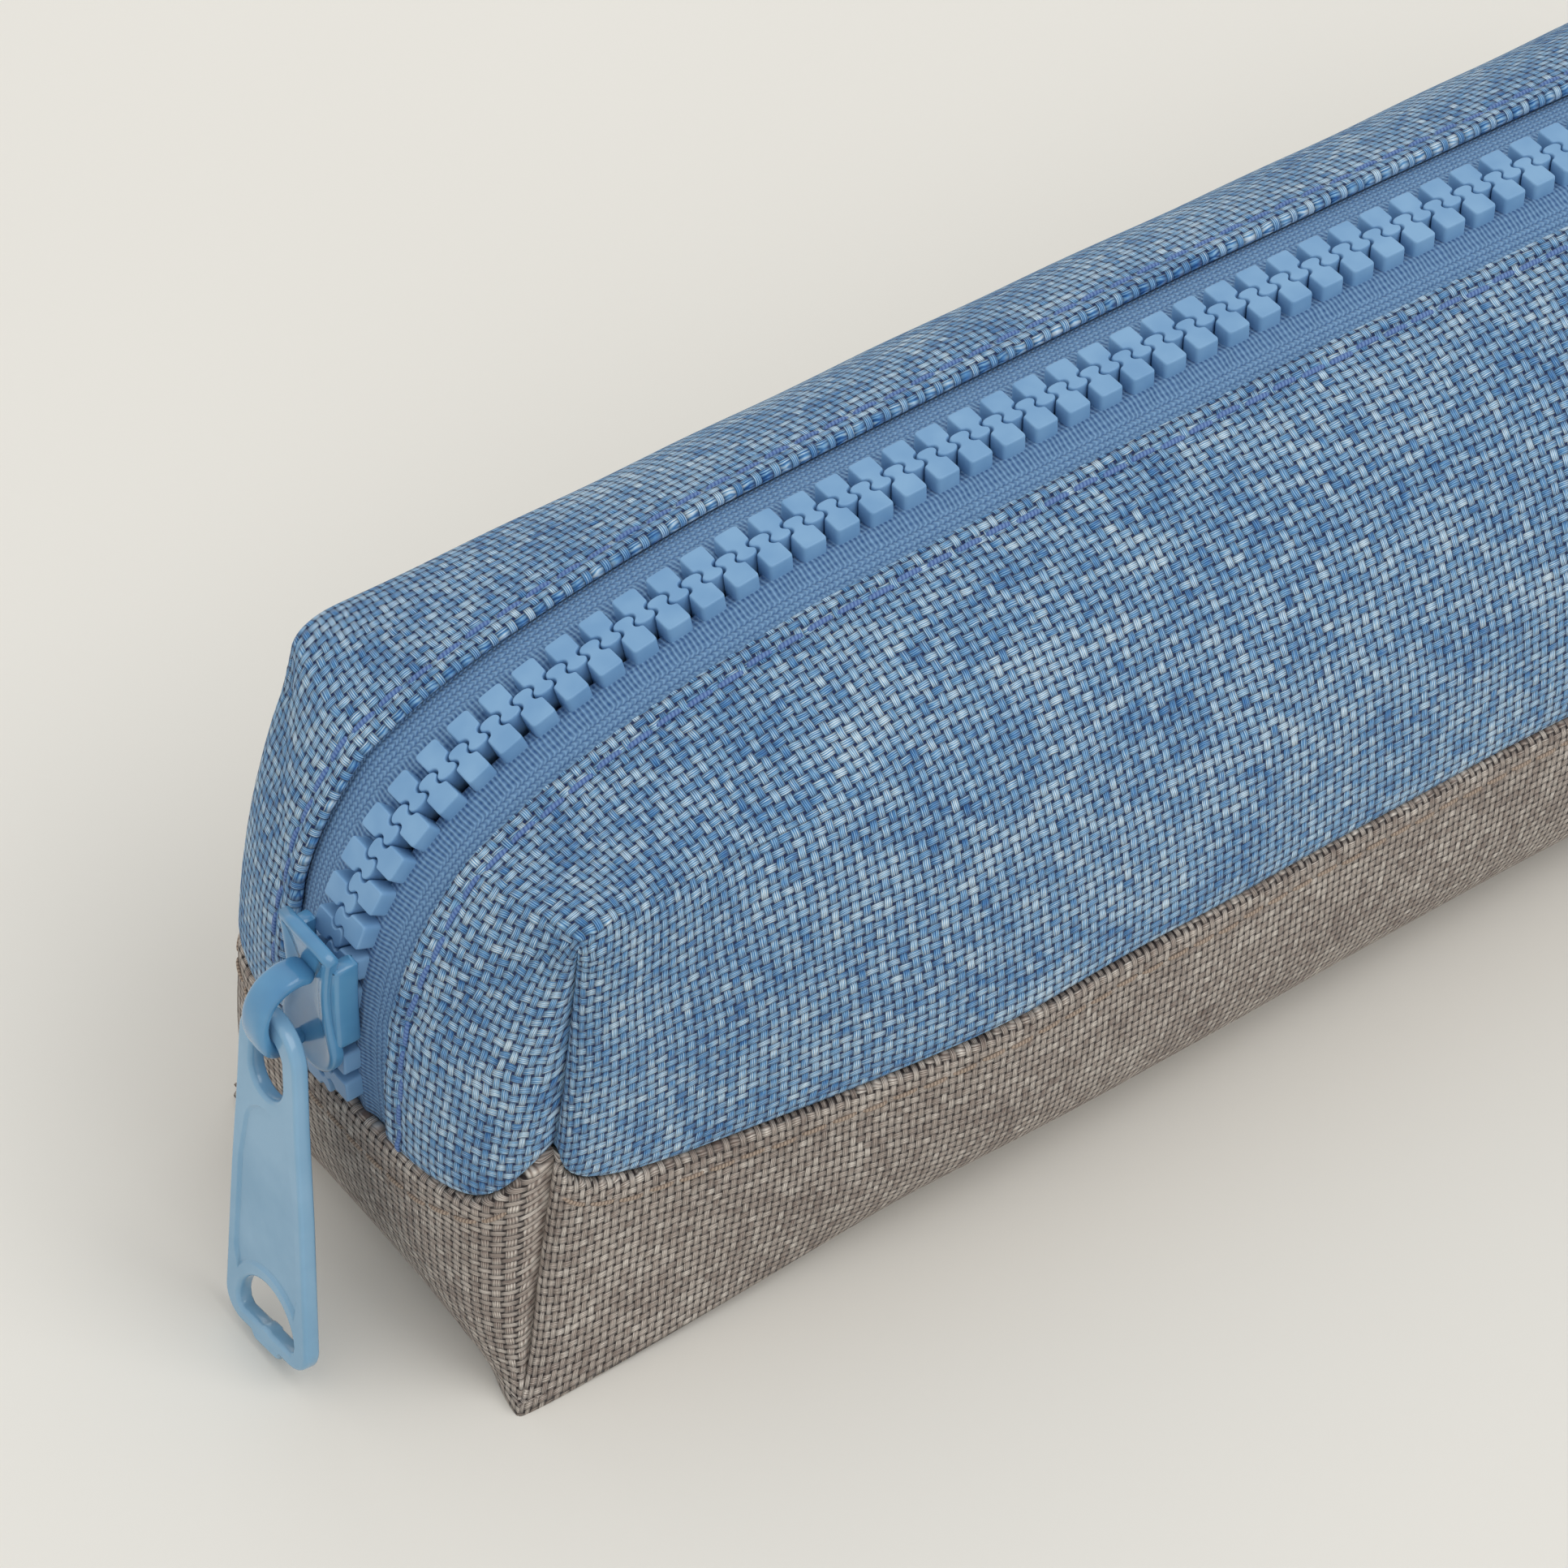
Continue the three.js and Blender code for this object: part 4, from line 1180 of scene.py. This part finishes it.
def slider_crown(face_x):
    """The bail that holds the tab: a flat band bent from the foot of the plate back to its top."""
    spine = smooth_curve([(-0.6, -6.0), (1.2, -5.7), (3.0, -4.6), (4.2, -3.0), (4.65, -1.1),
                          (4.4, 0.7), (3.5, 2.1), (2.3, 2.8), (1.0, 2.95), (-0.45, 2.6)], 46)
    turn = 2 * math.pi * np.arange(CROWN_SIDES) / CROWN_SIDES
    wide = CROWN_HALF_W * np.sign(np.cos(turn)) * np.abs(np.cos(turn)) ** 0.62
    thick = CROWN_HALF_T * np.sign(np.sin(turn)) * np.abs(np.sin(turn)) ** 0.72
    along = np.gradient(spine, axis=0)
    along /= np.linalg.norm(along, axis=1, keepdims=True)
    rings = []
    for k, (centre, direction) in enumerate(zip(spine, along)):
        left = min(k, len(spine) - 1 - k)
        size = math.sin(math.radians(min(90, 38 + 20 * left)))
        normal = np.array([-direction[1], direction[0]])
        foot = 1 - smooth(k / 16)
        across = wide * size * (1 - CROWN_FOOT[0] * foot) + CROWN_FOOT[1] * foot
        up = centre[1] + SLIDER_Z + thick * size * normal[1]
        rings.append(np.column_stack([across, up, centre[0] + thick * size * normal[0]]))
    faces, _ = loft(rings, 0)
    return stand(np.concatenate(rings), face_x), faces


def slider():
    face_x = SLIDER_X - PLATE_CLEAR - PLATE_T
    flanges = [slider_flange(face_x, side) for side in (-1, 1)]
    bodies = [slider_plate(face_x), *flanges, *slider_inside(face_x), slider_crown(face_x)]
    # painted shade: the slider takes the darker copy of the tab's enamel
    return joined("slider_casting", bodies, SHADED_SLIDER_PAINT)


def cap(loops, t):
    """Flat face between an outer loop and holes; returns points at height t and triangles."""
    flat = [[Vector((a, b, 0)) for a, b in loop] for loop in loops]
    triangles = [list(face) for face in tessellate_polygon(flat)]
    return level(np.concatenate(loops), t), triangles


def eased_plate(outline, holes, panels, thickness, ease, sunk):
    """Flat plate with eased edges, holes, and panels sunk into both faces."""
    half = thickness / 2
    steps = ((half - ease, 0), (half - 0.62 * ease, 0.12 * ease),
             (half - 0.25 * ease, 0.42 * ease), (half, ease))
    levels = [(-t, e) for t, e in reversed(steps)] + list(steps)
    points, faces = [], []

    def add(body, made):
        start = sum(len(p) for p in points)
        points.append(body)
        faces.extend([start + k for k in face] for face in made)

    for loop in (outline, *holes):
        rings = [level(inset(loop, e), t) for t, e in levels]
        made, _ = loft(rings, 0, caps=False)
        add(np.concatenate(rings), made)
    for sign in (-1, 1):
        rims = [inset(loop, ease) for loop in (outline, *holes)]
        add(*cap([*rims, *panels], sign * half))
        for panel in panels:
            rings = [level(panel, sign * half), level(inset(panel, 0.10), sign * (half - 0.06)),
                     level(inset(panel, 0.30), sign * (half - sunk))]
            made, _ = loft(rings, 0, caps=False)
            add(np.concatenate(rings), made)
            add(*cap([inset(panel, 0.30)], sign * (half - sunk)))
    return np.concatenate(points), faces


def pull_tab():
    top, low = TAB_TOP_Z, TAB_BOTTOM_Z + 0.7
    crest = arc((0, top - 4.1), 4.1, 0, 180, 21)
    waist = [(-4.4, top - 9.0), (-5.2, top - 18.0)]
    left_foot = arc((-3.5, low + 2.5), 2.5, 180, 270, 8)
    bump = [(-2.2, low), (-1.9, low - 0.45), (-1.5, low - 0.65)]
    bump += [(-a, b) for a, b in bump[::-1]]
    right_foot = arc((3.5, low + 2.5), 2.5, 270, 360, 8)
    right_waist = [(-a, b) for a, b in waist[::-1]]
    outline = np.array([*crest, *waist, *left_foot, *bump, *right_foot, *right_waist])
    eye = np.array([*arc((0, top - 4.4), 2.3, 22, 158, 13), *arc((0, top - 6.0), 2.3, 180, 360, 15)])
    slot_low = TAB_BOTTOM_Z + 2.1
    hump = oval((0, slot_low + 0.6), (4.1, 4.2), 0.12, 21)
    sill = [(-3.95, slot_low + 0.4), (-3.5, slot_low), (-0.7, slot_low), (-0.5, slot_low + 0.2)]
    right_sill = [(-a, b) for a, b in sill[::-1]]
    slot = np.array([*sill[1:], *right_sill, *hump, sill[0]])
    brow = oval((0, slot_low + 1.3), (4.9, 4.6), 0.55, 15)
    crown = arc((0, top - 12.7), 3.2, 15, 165, 11)
    panel = np.array([*crown, (-4.0, 18.0), (-4.65, slot_low + 6.0), *brow[::-1],
                      (4.65, slot_low + 6.0), (4.0, 18.0)])
    holes = [loop[::-1] for loop in (eye, slot)]
    body, faces = eased_plate(outline, holes, [panel], TAB_T, 0.34, 0.26)
    points = stand(body, TAB_X)
    pivot = [TAB_X - HALF_LENGTH, 0, TAB_TOP_Z - TAB_PIVOT_DROP]
    out, aside = (math.radians(angle) for angle in TAB_HANG)
    turn = np.array(Matrix.Rotation(out, 3, "Y") @ Matrix.Rotation(aside, 3, "X"))
    hung = (points - pivot) @ turn.T + pivot
    tab = facing_out(make_mesh("pull_tab_casting", hung, faces, PAINT), TAB_WELD_GAP)
    for face in tab.data.polygons:
        face.use_smooth = abs(face.normal.x) < TAB_FLAT_FACING
    return tab


# ==== stage ===============================================================================
def floor():
    """A pale table top, large enough to fill every view."""
    steps = np.linspace(-TABLE_HALF, TABLE_HALF, 9)
    grid = [(x / MM, y / MM, -0.02) for x in steps for y in steps]
    n = len(steps)
    faces = [[i * n + j, (i + 1) * n + j, (i + 1) * n + j + 1, i * n + j + 1]
             for i in range(n - 1) for j in range(n - 1)]
    shader = Shader("table")
    cloud = shader.noise(shader.position(), 6.0, 2.0)
    colour = shader.ramp(cloud, (0.3, linear(234, 231, 224)), (0.7, linear(237, 234, 227)))
    table = make_mesh("table_top", grid, faces, shader.finish(colour, 0.9, specular=0.1))
    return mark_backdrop(table)


def light(name, energy, size, place, aim):
    lamp = bpy.data.lights.new(name, "AREA")
    lamp.energy = energy
    lamp.size = size
    holder = bpy.data.objects.new(name, lamp)
    holder.location = place
    holder.rotation_euler = (Vector(aim) - Vector(place)).to_track_quat("-Z", "Y").to_euler()
    bpy.context.scene.collection.objects.link(holder)


def studio():
    world = bpy.data.worlds.new("studio")
    world.use_nodes = True
    background = world.node_tree.nodes["Background"]
    background.inputs["Color"].default_value = (1.0, 1.0, 0.99, 1.0)
    background.inputs["Strength"].default_value = WORLD_STRENGTH
    bpy.context.scene.world = world
    light("key_light", KEY_WATTS, KEY_SIZE, KEY_PLACE, KEY_AIM)
    bpy.context.scene.view_settings.view_transform = "Standard"


def camera():
    """Seen from in front of the slider end, to the right and above."""
    azimuth, elevation, roll = (math.radians(angle) for angle in CAMERA_TURN)
    x, y, z = CAMERA_TARGET
    target = Vector(((x - HALF_LENGTH + MIDDLE_X) * MM, y * MM, z * MM))
    away = Vector((math.cos(elevation) * math.cos(azimuth), math.cos(elevation) * math.sin(azimuth),
                   math.sin(elevation)))
    right = (-away).cross(Vector((0, 0, 1))).normalized()
    up = right.cross(-away)
    turned_right = math.cos(roll) * right + math.sin(roll) * up
    turned_up = -math.sin(roll) * right + math.cos(roll) * up
    lens = bpy.data.cameras.new("photo_camera")
    lens.sensor_width = 36.0
    lens.lens = FOCAL_WIDTHS * lens.sensor_width
    lens.clip_start = 0.01
    view = bpy.data.objects.new("photo_camera", lens)
    axes = Matrix((turned_right, turned_up, away)).transposed().to_4x4()
    view.matrix_world = Matrix.Translation(target + away * CAMERA_AWAY) @ axes
    bpy.context.scene.collection.objects.link(view)
    bpy.context.scene.camera = view


def place(piece, body, node, slot):
    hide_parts(node)
    if body.endswith("_wall"):
        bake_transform(piece)
    else:
        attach(piece, body)


def build_wall(label, side):
    body = f"{label}_wall"
    outer, inner = rolled_edge(PANEL_T)
    panel = sheet(f"blue_cloth_{label}", wall_patches(side, FOLD_Y, SEAM_GAP), outer, inner, BLUE_CLOTH)
    place(panel, body, f"blue_panel_{label}", "blue_fabric")
    inside = wall_patches(side, FOLD_Y, LINING_GAP)
    lining = sheet(f"lining_cloth_{label}", inside, *even_layer(*WALL_LINING), LINING_CLOTH, True)
    place(lining, body, f"lining_{label}", "lining_fabric")
    across = np.concatenate([np.linspace(TAPE_INNER_Y, 5.2, 10), np.linspace(5.8, TAPE_HALF_W, 9)])
    _, under = even_layer(*TAPE_DEPTH)
    ribbon = ribbon_patches(side, across, TAPE_TUCK)
    tape = sheet(f"tape_cloth_{label}", ribbon, corded_tape, under, TAPE_CLOTH)
    place(tape, body, f"zip_tape_{label}", "zip_tape")
    place(teeth(f"moulded_teeth_{label}", side), body, f"zip_teeth_{label}", "zip_plastic")
    runs = [line_on_wall(side, TOPSTITCH_Y)]
    line = stitched(f"stitches_{label}", runs, WALL_STITCH, BLUE_THREAD)
    place(line, body, f"topstitch_{label}", "blue_thread")


def build_base():
    outer, inner = folded_edge(PANEL_T)
    panel = sheet("grey_cloth_base", base_patches(SEAM_GAP), outer, inner, GREY_CLOTH)
    place(panel, "base", "base_panel", "grey_fabric")
    inside = base_patches(LINING_GAP)
    lining = sheet("lining_cloth_base", inside, *even_layer(*BASE_LINING), LINING_CLOTH, True)
    place(lining, "base", "base_lining", "lining_fabric")
    band = band_patches(*BINDING_SPAN, 8)
    binding = sheet("binding_cloth_seam", band, *even_layer(*BINDING_DEPTH), BINDING_CLOTH, True)
    place(binding, "base", "seam_binding", "binding_tape")
    line = stitched("stitches_base", lines_on_base(BASE_STITCH_DROP), BASE_STITCH, SAND_THREAD)
    place(line, "base", "base_topstitch", "sand_thread")


for label, side in SIDES.items():
    build_wall(label, side)
build_base()
place(slider(), "slider", "slider_body", "slider_paint")
place(pull_tab(), "pull", "pull_tab", "slider_paint")
floor()
studio()
camera()
